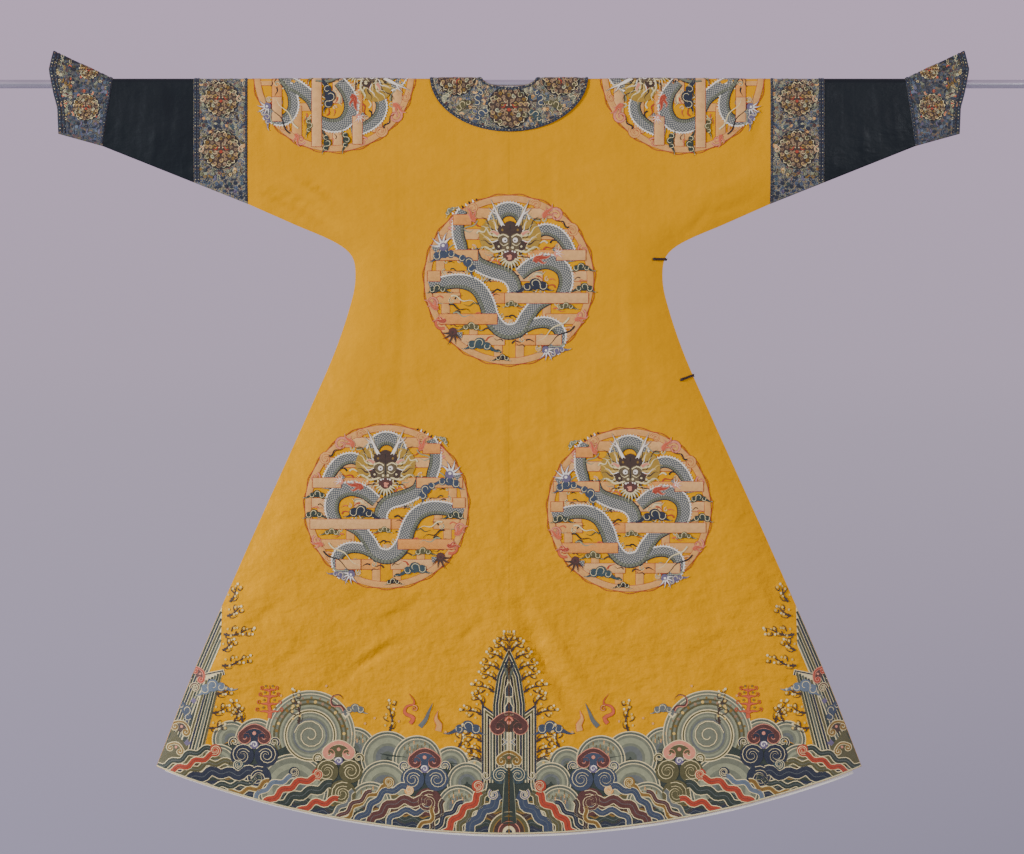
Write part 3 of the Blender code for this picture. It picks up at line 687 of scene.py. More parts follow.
def patterned_silk_ground(name, colour, pale):
    """The figured ground between the motifs: small many-coloured cloud shapes with pale outlines."""
    made, tree, shader, place = finish(name, {"Roughness": 0.55, "Sheen Weight": 0.1})
    drift = node(tree, "TexNoise", {"Vector": place, "Scale": 160.0, "Detail": 2.0}).outputs["Color"]
    swirl = node(tree, "VectorMath", {0: drift, "Scale": 0.009}, operation="SCALE").outputs["Vector"]
    bent = node(tree, "VectorMath", {0: place, 1: swirl}, operation="ADD").outputs["Vector"]
    cells = {"Vector": bent, "Scale": 1 / GROUND_FIGURE, "Randomness": 0.9}
    figure = node(tree, "TexVoronoi", cells).outputs["Color"]
    pick = node(tree, "SeparateXYZ", {"Vector": figure}).outputs["X"]
    shades = node(tree, "ValToRGB", {"Fac": pick})
    stops = shades.color_ramp.elements
    shades.color_ramp.interpolation = "CONSTANT"
    for _ in GROUND_SHADES[2:]:
        stops.new(0.5)
    for stop, (share, *silk) in zip(stops, GROUND_SHADES):
        stop.position, stop.color = share, (*(part / 1000 for part in silk), 1.0)
    gap = node(tree, "TexVoronoi", cells, feature="DISTANCE_TO_EDGE").outputs["Distance"]
    outline = ramp(tree, gap, 0.04, 0.085)
    figured = blend_colours(tree, outline, shade(FIGURE_EDGE, pale), shades.outputs["Color"])
    deep = between(tree, ramp(tree, gap, 0.16, 0.24), 0.2, 0.0)
    figured = blend_colours(tree, deep, figured, shade(colour, 1.0))
    toned = between(tree, noise(tree, place, 90.0, 5.0), 0.0, 0.35)
    feed(shader, {"Base Color": blend_colours(tree, toned, figured, shade(colour, 1.0))})
    feed(shader, {"Normal": relief(tree, ribs(tree, place, 380.0, "DIAGONAL"), 0.3, 0.0002)})
    return made


navy_ground = patterned_silk_ground("navy_silk_ground", NAVY_GROUND, 0.9)
collar_band = cut_piece("collar_band_silk", on_collar, level_collar, navy_ground)
overlap_band = cut_piece("overlap_band_silk", on_overlap_band, layers_up(2), navy_ground)


# ======== Hem lining ========
# The pale silk lining is turned up inside the back hem. It has dropped a little with age, so its edge
# peeps out below the satin, more at the right corner than at the left.

LINING_SHOWS = (0.002, 0.007)


def let_down(flat):
    at_hem = flat[:, 1] > hem_s(flat[:, 0]) - 0.001
    share = (flat[:, 0] + HEM_HALF) / (2 * HEM_HALF)
    shows = LINING_SHOWS[0] + (LINING_SHOWS[1] - LINING_SHOWS[0]) * share
    return np.stack([flat[:, 0], flat[:, 1] + shows * at_hem], 1)


def on_lining(x, s):
    return inside(x, s, lining_border())


cut_piece("hem_lining_silk", on_lining, layers_up(-1), lining_silk, let_down)


# ======== Sleeves ========
# Each sleeve is a tube in three parts with one underarm seam: a patterned band next to the body, a plain
# stretch of dark satin, and a horseshoe cuff of patterned silk whose top stands up above the rod.

BAND_OUTER = 0.588
CUFF_SEAM = ((0.738, 0.011), (0.758, -0.116))
CUFF_EDGE = (
    # x, height of the cuff's free edge, from its top point to its underside
    (0.85, 0.062), (0.858, 0.026), (0.849, -0.019), (0.842, -0.045), (0.841, -0.093),
)
CUFF_TOP = CUFF_EDGE[0][1] - WALL / 2
SLEEVE_MIDDLE = -0.03
SLEEVE_RING_STEP = 0.0055
SLEEVE_SIDE_ROWS, SLEEVE_FOLD_STEPS = 20, 10
DARK = (0.0052, 0.008, 0.0096)
SLEEVE_CREASES = (
    # in mm: x of the crease, height of its middle, half length, half width, rise
    (628, -60, 55, 7, -0.9), (662, -110, 50, 8, 1), (690, -55, 60, 6, -0.8), (722, -75, 50, 7, 0.9),
    (605, -150, 35, 6, 0.8), (540, -165, 30, 8, -0.7), (780, -50, 35, 7, -0.7), (815, -30, 35, 8, 0.8),
)


def line_x(line, z):
    """x of a seam or edge line at a height."""
    line = np.array(line)[::-1]
    return np.interp(z, line[:, 1], line[:, 0])


def fold_height(x):
    """Height of the sleeve's fold at the wall's middle: on the rod, and rising along the cuff."""
    return np.interp(x, [CUFF_SEAM[0][0], CUFF_EDGE[0][0]], [FOLD_RADIUS, CUFF_TOP])


def underside_height(x):
    line = SEAM_LINE[:3][::-1]
    return np.interp(x, line[:, 0], line[:, 1])


def sleeve_depth(x, z):
    """Half depth of a sleeve's side, with its upright creases."""
    total = half_depth(x, z, 1)
    for crease_x, middle, reach, width, rise in metres(SLEEVE_CREASES, 5):
        across = np.clip(np.abs(x - crease_x + 0.12 * (z - middle)) / width, 0, 1)
        along = np.clip(np.abs(z - middle) / reach, 0, 1)
        total = total + rise * np.cos(across * math.pi / 2) ** 2 * np.cos(along * math.pi / 2)
    return total


def sleeve_ring(inner, outer, share):
    """Middle points of the wall round one section of a sleeve, and their outward directions."""

    def x_at(z):
        return (1 - share) * line_x(inner, z) + share * line_x(outer, z)

    top, low = fold_height(x_at(0.0)), underside_height(x_at(0.0))
    # The seams lean, so the two ends of the section are found in a few rounds
    for _ in range(6):
        top, low = fold_height(x_at(top)), underside_height(x_at(low))
    turn = np.arange(SLEEVE_FOLD_STEPS + 1)[:, None] / SLEEVE_FOLD_STEPS * math.pi / 2
    fold_z, fold_y = top * np.cos(turn), FOLD_RADIUS * np.sin(turn)
    away = np.hstack([top * np.sin(turn), FOLD_RADIUS * np.cos(turn)])
    away /= np.linalg.norm(away, axis=1)[:, None]
    rows = np.arange(1, SLEEVE_SIDE_ROWS + 1)[:, None] / SLEEVE_SIDE_ROWS
    wall_z = (low + WALL / 2 + SIDE_DEPTH) * np.sin(rows * math.pi / 2)
    fold = np.hstack([x_at(fold_z), fold_y, fold_z])
    wall = np.hstack([x_at(wall_z), sleeve_depth(x_at(wall_z), wall_z), wall_z])
    points = np.vstack([fold, wall, [(x_at(low), 0.0, low + WALL / 2)]])
    outward = np.vstack([away, [(1.0, 0.0)] * SLEEVE_SIDE_ROWS, [(0.0, -1.0)]])
    back = points[-2:0:-1] * [1, -1, 1]
    return np.vstack([points, back]), np.vstack([outward, outward[-2:0:-1] * [-1, 1]])


def sleeve_piece(name, inner, outer, side, outside, slot):
    """A lined tube between two seam lines, on the wearer's left (side -1) or right (side 1)."""
    deep = line_x(outer, SLEEVE_MIDDLE) - line_x(inner, SLEEVE_MIDDLE)
    rings = 1 + math.ceil(deep / SLEEVE_RING_STEP)
    sections = [sleeve_ring(inner, outer, r / (rings - 1)) for r in range(rings)]
    layers = []
    for offset in (WALL / 2, -WALL / 2):
        for middle, outward in sections:
            moved = middle.copy()
            moved[:, 1:] += outward * offset
            layers.append(moved * [side, 1, 1])
    count = len(layers[0])
    grid = np.arange(2 * rings * count).reshape(2, rings, count)
    after = np.roll(grid, -1, axis=2)
    faces = []
    for r in range(rings - 1):
        faces += zip(grid[0, r], after[0, r], after[0, r + 1], grid[0, r + 1])
        faces += zip(grid[1, r], grid[1, r + 1], after[1, r + 1], after[1, r])
    faces += zip(grid[0, 0], grid[1, 0], after[1, 0], after[0, 0])
    faces += zip(grid[0, -1], after[0, -1], after[1, -1], grid[1, -1])
    faces = [[int(i) for i in face[::side]] for face in faces]
    is_lining = ([0] * count + [1] * count) * (rings - 1) + [0] * (2 * count)
    piece = lined_piece(name, np.vstack(layers), faces, is_lining, outside)
    return piece


dark_satin = satin("dark_satin", DARK, 0.42, 0.12, (0.9, 0.95, 1.0))


def shifted(line, amount):
    return [(x + amount, z) for x, z in line]


def upright(x):
    return [(x, CUFF_TOP), (x, -HEM_DROP)]


cuff_ground = patterned_silk_ground("cuff_silk_ground", NAVY_GROUND, 0.25)
SLEEVE_PARTS = (
    # name, inner seam, outer seam, cloth, slot
    ("sleeve_band_", upright(SHOULDER_HALF), upright(BAND_OUTER), navy_ground, "patterned_silk"),
    ("dark_sleeve_", upright(BAND_OUTER), CUFF_SEAM, dark_satin, "dark_satin"),
    ("cuff_", CUFF_SEAM, shifted(CUFF_EDGE, SEAM_GAP / 2), cuff_ground, "patterned_silk"),
)
sleeve_pieces = {}
for side, word in ((-1, "left"), (1, "right")):
    for part, inner, outer, cloth, slot in SLEEVE_PARTS:
        seams = shifted(inner, SEAM_GAP / 2), shifted(outer, -SEAM_GAP / 2)
        sleeve_pieces[part + word] = sleeve_piece(part + word + "_tube", *seams, side, cloth, slot)


# ======== Dragon roundels ========
# Eight round dragon medallions in coloured silks: three on the back, three on the front and one over each
# shoulder. Laid stitches and couched cords stand a little above the satin. Each is a front-facing
# dragon coiled among clouds and flames over a plain lattice of peach bars.

STITCH_LIFT = 0.00028
STITCH_LAYER = 0.0001
CORD_RISE, FLAT = 0.00022, 0.0001
PAD_RISE = 0.0003
PAD_EDGE = 0.004
FILL_STEP, RING_STEP, BAND_STEP = 0.006, 0.006, 0.005
FINE_THREAD = 0.0015
SMALLEST_CELL, TINY = 2e-9, 1e-9

SILKS = {
    # red, green and blue in thousandths
    "cream": (540, 465, 230), "white": (620, 580, 480), "straw": (480, 330, 80),
    "pale sage": (190, 205, 120), "sage": (112, 124, 80), "deep sage": (66, 80, 58), "teal": (26, 48, 52),
    "blue": (30, 43, 66), "sky": (85, 115, 145), "navy": (13, 18, 30), "violet": (95, 80, 130),
    "maroon": (66, 24, 18), "red": (270, 34, 12), "coral": (420, 82, 30), "peach": (500, 250, 64),
    "apricot": (520, 215, 40), "shell": (520, 290, 100), "mustard": (270, 165, 18), "fawn": (150, 98, 52),
    "bronze": (86, 64, 30), "tan": (210, 132, 66), "pink": (480, 180, 105), "gold": (165, 95, 14),
    "olive": (64, 60, 21), "brown": (38, 22, 14), "dark": (11, 10, 10), "green": (20, 30, 21),
    "grey": (86, 98, 88),
}
THREAD_PITCH = 0.0011
# Metres from ridge to ridge of a wave texture whose scale is 1
RIDGE_REPEAT = 0.314


def length_along(line):
    return np.r_[0, np.cumsum(np.abs(np.diff(line)))]


def heading(line):
    ahead = np.gradient(line)
    return ahead / np.abs(ahead)


def point_on(line, along, place):
    """The place on a line at a length along it."""
    return np.interp(place, along, line.real) + 1j * np.interp(place, along, line.imag)


def towards(angle):
    """A step of length 1 towards an angle in degrees; 0 points right and 90 up."""
    return np.exp(1j * np.radians(angle))


def circle(count):
    return np.exp(2j * math.pi * np.arange(count) / count)


class Hoop:
    """Stitches drawn flat before they are sewn on. A place is a complex number: across, then up."""

    def __init__(self):
        self.places, self.lifts, self.runs = [], [], []
        self.faces, self.silks = [], []
        self.count = 0
        self.turn, self.middle, self.flipped, self.layer = 1.0, 0.0, False, 0

    @contextmanager
    def at(self, middle, angle=0.0, size=1.0, flip=False, layer=0):
        """Draws what follows round a new middle: turned by degrees, scaled, mirrored and further up."""
        kept = self.turn, self.middle, self.flipped, self.layer
        turn = size * towards(angle) * (-1 if flip else 1)
        if self.flipped:
            turn, middle = np.conj(turn), np.conj(middle)
        self.middle = self.turn * middle + self.middle
        self.turn = self.turn * turn
        self.flipped = self.flipped != flip
        self.layer = self.layer + layer
        yield
        self.turn, self.middle, self.flipped, self.layer = kept

    def mirrored(self):
        """Draws what follows twice, the second time mirrored across."""
        yield
        with self.at(0, flip=True):
            yield

    def add(self, places, rises, runs, faces, silks, layer):
        places = np.asarray(places, complex).ravel()
        self.places.append(self.turn * (places.conj() if self.flipped else places) + self.middle)
        base = STITCH_LIFT + STITCH_LAYER * (self.layer + layer)
        self.lifts.append(base + np.ravel(rises) + np.zeros(len(places)))
        self.runs.append(np.asarray(runs, complex).ravel() * abs(self.turn))
        order = -1 if self.flipped else 1
        self.faces += [tuple(i + self.count for i in face[::order]) for face in faces]
        self.silks += silks
        self.count += len(places)

    def rows(self, places, rises, runs, silks, layer, outwards=False):
        """Rows of stitches side by side: a row for each silk by turns, laid to the left or outwards."""
        steps, columns = places.shape
        cells = [(i, j) for i in range(steps - 1) for j in range(columns - 1)]
        corners = (0, 1, columns + 1, columns) if outwards else (0, columns, columns + 1, 1)
        faces = [[i * columns + j + corner for corner in corners] for i, j in cells]
        rises = np.broadcast_to(rises, places.shape)
        self.add(places, rises, runs, faces, [silks[j % len(silks)] for _, j in cells], layer)

    def band(self, line, width, silk, layer, edge=None, edge_width=0.0015, rise=CORD_RISE):
        """Laid stitches across a line, raised in the middle, with a couched edge cord if one is named."""
        line = np.asarray(line, complex)
        ahead = np.diff(line)
        ahead = ahead / np.maximum(np.abs(ahead), TINY)
        before, after = np.r_[ahead[:1], ahead], np.r_[ahead, ahead[-1:]]
        if abs(line[0] - line[-1]) < 1e-7:
            before[0], after[-1] = ahead[-1], ahead[0]
        aside = before + after
        aside = aside / np.maximum(np.abs(aside), TINY)
        aside = 1j * aside / np.maximum((aside * before.conj()).real, 0.5)
        half = np.broadcast_to(width, line.shape) / 2
        shares, heights, silks = [-1, 0, 1], [0, 1, 0], [silk, silk]
        if np.max(width) * abs(self.turn) < FINE_THREAD:
            shares, heights, silks = [-1, 1], [0.6, 0.6], [silk]
        if edge:
            inner = np.clip(1 - edge_width / abs(self.turn) / half, 0.2, 1)
            shares, heights, silks = [-1, -inner, 0, inner, 1], [0, 1, 0.7, 1, 0], [edge, silk, silk, edge]
        across = np.stack([share * half for share in shares], 1)
        runs = length_along(line)[:, None] + 1j * across
        places = line[:, None] + aside[:, None] * across
        self.rows(places, np.array(heights) * rise, runs, silks, layer)

    def fill(self, outline, silk, layer=0, rise=PAD_RISE):
        """Satin stitch over a closed shape, padded so that it rounds down to its edge."""
        outline = np.asarray(outline, complex)
        if abs(outline[0] - outline[-1]) < TINY:
            outline = outline[:-1]
        step = FILL_STEP / abs(self.turn)
        border = np.stack([outline.real, outline.imag], 1)
        low, high = border.min(0), border.max(0)
        x, y = np.meshgrid(*(np.arange(a + step / 2, b, step) for a, b in zip(low, high)))
        keep = inside(x, y, border) & (distance_to(x, y, closed(border)) > step * 0.4)
        flat = border.tolist() + np.stack([x[keep], y[keep]], 1).tolist()
        points = [Vector(p) for p in flat]
        found, _, faces, *_ = delaunay_2d_cdt(points, [], [list(range(len(border)))], 1, 1e-7)
        places = np.array([complex(*p) for p in found])
        depth = distance_to(places.real, places.imag, closed(border)) * abs(self.turn)
        faces = [tuple(f) for f in faces]
        self.add(places, rise * smooth_step(depth / PAD_EDGE), places, faces, [silk] * len(faces), layer)

    def rings(self, radii, silks, start, end, layer=0, rises=(0.0, 0.0001)):
        """Rows of stitches round the middle between the radii, in the given silks by turns."""
        radii = np.asarray(radii, float)
        steps = max(6, math.ceil(math.radians(end - start) * radii.max() * abs(self.turn) / RING_STEP))
        turns = np.linspace(start, end, steps + 1)[:, None]
        runs = radii + 1j * np.radians(turns) * radii.max()
        self.rows(towards(turns) * radii, np.resize(rises, len(radii)), runs, silks, layer, True)

    def bead(self, place, radius, silk, layer, sides=8, rise=PAD_RISE):
        """A French knot or a small round of satin stitch."""
        places = place + np.r_[0, radius * circle(sides)]
        faces = [(0, 1 + i, 1 + (i + 1) % sides) for i in range(sides)]
        self.add(places, np.r_[rise, np.zeros(sides)], places, faces, [silk] * sides, layer)


def thread_of(silk):
    """Floss silk in a colour. The stitches run across a band, side by side, and catch the light."""
    name = "silk_" + silk.replace(" ", "_")
    if name in bpy.data.materials:
        return bpy.data.materials[name]
    inputs = {"Roughness": 0.5, "Sheen Weight": 0.1, "Specular IOR Level": 0.25}
    made, tree, shader, place = finish(name, inputs)
    run = node(tree, "UVMap", {}, uv_map="stitch").outputs["UV"]
    clouds = noise(tree, place, 130.0, 4.0)
    colour = [part / 1000 for part in SILKS[silk]]
    toned = mottle(tree, clouds, colour, 0.72, 1.22)
    rows = ribs(tree, run, RIDGE_REPEAT / THREAD_PITCH, "X", Distortion=0.6, Detail=1.0)
    # Painted shade: the grooves between rows of stitches are darkened towards 0.4 of the silk's colour
    toned = blend_colours(tree, between(tree, rows, 0.16, 0.0), toned, shade(colour, 0.4))
    feed(shader, {"Base Color": toned})
    feed(shader, {"Roughness": between(tree, clouds, 0.42, 0.6)})
    feed(shader, {"Normal": relief(tree, rows, 0.35, 0.0002)})
    return made


SCALE_SIZE = 0.0056
SCALE_PALE = (0.255, 0.25, 0.195)
SCALE_NET = (0.054, 0.064, 0.068)


def scale_net():
    """Dragon scales: pale blue-grey cells under a slanting net of navy couching."""
    made, tree, shader, place = finish("silk_scales", {"Roughness": 0.5, "Specular IOR Level": 0.25})
    run = node(tree, "UVMap", {}, uv_map="stitch").outputs["UV"]
    lines = []
    for angle in (45, -45):
        turned_run = {"Vector": run, "Rotation": (0, 0, math.radians(angle))}
        slanted = node(tree, "Mapping", turned_run).outputs["Vector"]
        lines.append(ribs(tree, slanted, RIDGE_REPEAT / SCALE_SIZE * 1.41, "X"))
    net = product(tree, *lines)
    cells = ramp(tree, net, 0.12, 0.34)
    pale = mottle(tree, noise(tree, place, 110.0, 3.0), SCALE_PALE, 0.8, 1.2)
    feed(shader, {"Base Color": blend_colours(tree, cells, shade(SCALE_NET, 1.0), pale)})
    feed(shader, {"Normal": relief(tree, net, 0.4, 0.0003)})
    return made


silk_scales = scale_net()


def sew(
    hoop, name, onto, level, middle=0.0, angle=0.0, size=1.0, flip=False,
    laid=over_rod, trim=None, region=None, turned_over=False,
):
    """Lays a hoop's stitches over the robe's outer face as one piece that goes with the cloth below."""
    design = np.concatenate(hoop.places)
    turn = size * towards(angle)
    sheet = turn * (-design.conj() if flip else design) + middle
    x, s = sheet.real, -sheet.imag
    if trim:
        x, s = trim(x, s)
    points = laid(x, s, level(x, s) + WALL / 2 + np.concatenate(hoop.lifts))
    flat = np.stack([x, s], 1)
    a, b, c, d = (flat[[face[i] for face in hoop.faces]] for i in (0, 1, 2, -1))
    keep = np.abs(across_product(c - a, b - d)) > SMALLEST_CELL
    if region:
        keep &= region(*((a + b + c + d) / 4).T)
    order = -1 if flip != turned_over else 1
    faces = [face[::order] for face, kept in zip(hoop.faces, keep) if kept]
    silks = [silk for silk, kept in zip(hoop.silks, keep) if kept]
    used = sorted(set(silks))
    mesh = mesh_of(name, points, faces)
    stitch = mesh.uv_layers.new(name="stitch")
    corners = np.empty(len(mesh.loops), np.int32)
    mesh.loops.foreach_get("vertex_index", corners)
    run = np.concatenate(hoop.runs)[corners]
    stitch.data.foreach_set("uv", np.stack([run.real, run.imag], 1).ravel())
    threads = [silk_scales if silk == "scales" else thread_of(silk) for silk in used]
    piece = add_piece(name, mesh, threads)
    mesh.polygons.foreach_set("material_index", [used.index(silk) for silk in silks])
    work = bmesh.new()
    work.from_mesh(mesh)
    loose = [v for v in work.verts if not v.link_faces]
    bmesh.ops.delete(work, geom=loose, context="VERTS")
    work.to_mesh(mesh)
    work.free()
    piece.parent = onto
    return piece


def rounded(points, step=BAND_STEP):
    """A rounded line through (across, up) points."""
    return smooth_line(points, step) @ [1, 1j]


def drawn(*sizes):
    """A rounded line through points given as across, up, across, up and so on, in millimetres."""
    return rounded(np.reshape(sizes, (-1, 2)) / 1000)


def wavy(start, end, waves, height, bow=0.0, step=0.2):
    """A line from start to end with a sideways bow and even waves."""
    length = abs(end - start)
    count = max(math.ceil(8 * waves), math.ceil(length / step), 4)
    t = np.linspace(0, 1, count + 1)
    aside = bow * 4 * t * (1 - t) + height * np.sin(2 * math.pi * waves * t)
    return start + (end - start) * t + 1j * (end - start) / length * aside


def spiral(middle, radius, turns, start, spin=1, core=0.16):
    """A line that winds in from the radius, starting at an angle; spin is 1 to turn left, -1 right."""
    count = max(8, math.ceil(turns * 12))
    t = np.linspace(0, 1, count + 1)
    reach = radius * (1 - (1 - core) * t)
    return middle + reach * np.exp(1j * (math.radians(start) + spin * 2 * math.pi * turns * t))


def curl(hoop, middle, radius, start, spin, silk, layer=0, edge="cream", turns=1.3, thick=0.42):
    """A cloud's curl: a tapering spiral cord with pale edges."""
    line = spiral(middle, radius * (1 - thick / 2), turns, start, spin)
    width = radius * thick * np.linspace(1.0, 0.55, len(line))
    hoop.band(line, width, silk, layer, edge, min(0.0011, radius * abs(hoop.turn) * 0.11))


def tongue(hoop, line, width, silk, layer, edge=None, edge_width=0.001):
    """A band that narrows to a point at its far end."""
    line = np.asarray(line, complex)
    share = np.linspace(0, 1, len(line))
    hoop.band(line, width * (1 - 0.92 * share**1.5), silk, layer, edge, edge_width)


CLOUD_LOBES = (
    # across, up, radius, start angle and spin of its line
    (-0.56, -0.02, 0.4, 150, 1), (0.04, 0.2, 0.48, 200, -1), (0.66, 0.0, 0.36, 30, -1),
)


def cloud(hoop, middle, size, angle, flip, silk, layer):
    """A small drifting cloud: three padded lobes, each with a fine scroll line, and two waving tails."""
    with hoop.at(middle, angle, size, flip, layer):
        line = 0.001 / abs(hoop.turn)
        for end, bend, thick in ((1.95 - 0.22j, 0.16, 0.46), (-1.45 - 0.34j, -0.12, 0.36)):
            tail = wavy(-0.1j, end, 0.9, bend, 0.0, 0.1)
            tongue(hoop, tail, thick, silk, 0)
            hoop.band(tail[2:-1], line, "cream", 1, rise=FLAT)
        for across, up, radius, start, spin in CLOUD_LOBES:
            hoop.bead(complex(across, up), radius, silk, 1, 12)
            scroll = spiral(complex(across, up), radius * 0.86, 1.15, start, spin, 0.2)
            hoop.band(scroll, line, "cream", 2, rise=FLAT)


def flame(hoop, middle, size, angle, silk):
    """Three waving tongues of fire from one root."""
    with hoop.at(middle, angle, size, layer=12):
        for lean, reach, thick in ((24, 0.8, 0.26), (-26, 0.75, 0.26), (0, 1.15, 0.34)):
            tongue(hoop, wavy(0j, reach * towards(90 + lean), 1.0, 0.1), thick, silk, 0, "pink", 0.0009)


def placed(rows):
    """Rows that begin with across, up and one more length, in metres and with a single place."""
    return [(complex(x, y), *rest) for x, y, *rest in metres(rows)]


def each(hoop, draw, rows, *more):
    """Draws one motif at every place in a table."""
    for row in placed(rows):
        draw(hoop, *row, *more)


ROUNDEL = 0.16
BAR = 0.0195
FRET_ROWS = (
    # height of the row, then start and end of each bar, as shares of the half width there
    (0.124, (-0.96, -0.3), (0.34, 0.96)), (0.085, (-0.97, -0.4), (0.46, 0.97)),
    (0.046, (-0.97, -0.2), (0.24, 0.97)), (0.007, (-0.97, -0.55), (-0.28, 0.42), (0.66, 0.97)),
    (-0.034, (-0.97, -0.62), (-0.2, 0.97)), (-0.073, (-0.97, -0.16), (0.52, 0.97)),
    (-0.112, (-0.95, -0.08), (0.12, 0.95)),
)
FRET_POSTS = (
    # in mm: across, lower row, upper row of the short uprights that join two rows into a lattice
    (-98, 85, 124), (98, 46, 85), (-128, 7, 46), (30, 7, 46), (-100, -34, 7), (126, -34, 7),
    (-118, -73, -34), (70, -73, -34), (0, -112, -73), (-66, -112, -73), (20, -150, -112),
    (-20, -150, -112),
)
COILS = (
    # across and up of points down the middle and the width in mm, side of the crest (1 left, -1 right)
    ((-30, 92, -26, 112, -16, 127, 0, 132, 16, 127, 26, 112, 30, 92), 25, 1),
    ((36, 70, 60, 92, 84, 90, 102, 74, 114, 52, 118, 34), 21, 1),
    ((-86, 130, -94, 108, -94, 82, -88, 60, -88, 36), 21, -1),
    ((-70, 56, -60, 32, -34, 18, -4, 8, 10, -10, 10, -36), 27, -1),
    ((20, 10, 44, 28, 74, 34, 100, 20, 106, -6, 96, -34), 27, 1),
    ((-148, -14, -112, -4, -82, -4, -58, -16, -42, -42, -32, -72, -10, -95, 18, -92, 34, -68, 52, -46,
      74, -34), 28, 1),
    ((26, -92, 46, -82, 72, -80, 92, -92, 96, -110, 84, -136), 20, 1),
)
OVER_BARS = (
    # in mm: height, start and end across of the bars that pass in front of the dragon's body
    (46, -147, -58), (46, 88, 143), (-34, -8, 148), (-73, -130, -22), (112, -104, -70), (-112, 50, 98),
    (7, -152, -128),
)
FILLERS = 150
ROUNDEL_CLOUDS = (
    # across, up and size in mm, angle, mirrored, silk
    (-122, 46, 21, 8, False, "blue"), (-78, 30, 20, -48, True, "blue"), (50, -12, 23, 4, True, "navy"),
    (134, 22, 15, 0, False, "green"), (141, -16, 16, 0, True, "green"),
    (-134, -18, 15, 0, False, "green"), (-70, -88, 15, 0, True, "olive"),
    (-56, -122, 22, -6, False, "teal"), (-12, -146, 12, 0, True, "dark"),
    (106, -50, 13, 0, False, "olive"), (4, -46, 12, 0, False, "olive"),
    (-110, 128, 10, 40, False, "sage"), (90, -134, 14, 24, False, "violet"),
)
ROUNDEL_FLAMES = (
    # across, up and size in mm, angle, silk
    (48, 34, 30, -64, "red"), (-62, 112, 26, 40, "coral"), (66, 116, 26, -30, "coral"),
    (-132, -52, 26, 62, "coral"), (-118, -74, 22, 100, "red"), (124, -76, 22, -70, "coral"),
    (24, 64, 14, -50, "red"),
)
ROUNDEL_CURLS = (
    # radius in mm, angle on the rim, spin, silk
    (14, 150, 1, "peach"), (17, 134, 1, "pink"), (15, 117, -1, "peach"), (12, 70, -1, "peach"),
    (17, 54, -1, "pink"), (16, 38, -1, "peach"), (13, 22, 1, "pink"), (14, 196, 1, "pink"),
    (16, 212, -1, "coral"), (15, 318, 1, "peach"), (13, 334, -1, "pink"),
)
CLAWS = (
    # across, up and size in mm, angle, silks of palm and talons
    (-122, 62, 20, 20, "violet", "white"), (-104, -96, 18, 158, "maroon", "brown"),
    (68, -130, 16, -150, "violet", "white"), (88, 48, 12, -64, "pink", "white"),
)
WISPS = (
    # in mm: start across and up, end across and up of fine loose hairs of mane and tail
    (-108, -30, -60, -44), (-112, -46, -70, -60), (-104, -62, -62, -70), (112, -70, 50, -116),
    (122, -86, 60, -128), (104, -118, 46, -136), (-60, 86, -34, 98), (112, 98, 84, 116),
)


def ring_band(hoop, radius, width, silk, layer, edge=None, ripple=0.0, waves=0, edge_width=0.0012):
    turns = np.linspace(0, 2 * math.pi, 161)
    line = (radius + ripple * np.sin(turns * waves)) * np.exp(1j * turns)
    line[-1] = line[0]
    hoop.band(line, width, silk, layer, edge, edge_width)


BAR_SILKS = ("peach", "apricot", "peach", "shell")


def bar(hoop, start, end, layer):
    """One peach bar of the lattice, with couched red outlines and closed ends."""
    line = start + (end - start) * np.linspace(0, 1, max(2, round(abs(end - start) / 0.006)))
    silk = BAR_SILKS[round(abs(start) * 1000) % len(BAR_SILKS)]
    hoop.band(line, BAR, silk, layer, "maroon", 0.0005)
    for side in (-1, 1):
        hoop.band(line + side * 0.5j * BAR, 0.001, "red", layer + 1, rise=FLAT)
    for stop in (start, end):
        hoop.band([stop - 0.5j * BAR, stop + 0.5j * BAR], 0.001, "red", layer + 1)


def fret(hoop):
    """The lattice: level bars in staggered rows, joined by short posts."""
    reach = ROUNDEL - 0.01
    for post, bottom, top in metres(FRET_POSTS):
        hoop.band(post + 1j * np.linspace(bottom, top, 7), BAR * 0.85, "peach", 0, "red", 0.0008)
    for height, *bars in FRET_ROWS:
        half = math.sqrt(reach**2 - height**2)
        for start, end in bars:
            bar(hoop, complex(start * half, height), complex(end * half, height), 1)


def roundel_fillers(hoop):
    """Small sparks, hairs and leaves scattered over the lattice behind the dragon."""
    pick = random.Random(5)
    for number in range(FILLERS):
        place = pick.uniform(0.025, 0.142) * np.exp(1j * pick.uniform(0, 2 * math.pi))
        with hoop.at(place, pick.uniform(-35, 35), pick.uniform(0.01, 0.017), pick.random() < 0.5, 3):
            silk = pick.choice(("dark", "olive", "red", "coral", "pale sage", "brown", "cream", "green"))
            if number % 3:
                tongue(hoop, wavy(-0.9 + 0j, 0.9 + 0j, 1.2, 0.18, 0.1), 0.21, silk, 0)
            else:
                curl(hoop, 0j, 0.5, 90, 1, silk, turns=1.0, thick=0.4)
                tongue(hoop, wavy(0.4 + 0j, 1.5 + 0.1j, 0.7, 0.14), 0.22, silk, 0)


CREST_TOOTH, CREST_PITCH = 0.0034, 0.0055


def crest(hoop, line, side, layer):
    """A row of small white spines along the body, over a white edge cord."""
    hoop.band(line, 0.0022, "white", layer)
    length = length_along(line)
    for place in np.arange(CREST_PITCH / 2, length[-1], CREST_PITCH):
        foot = point_on(line, length, place)
        ahead = point_on(line, length, place + 0.001) - foot
        if abs(ahead) < 1e-6:
            continue
        ahead = ahead / abs(ahead)
        tip = foot + side * 1j * ahead * CREST_TOOTH + ahead * 0.001
        hoop.band([foot, (foot + tip) / 2, tip], [0.0026, 0.0018, 0.0003], "white", layer)


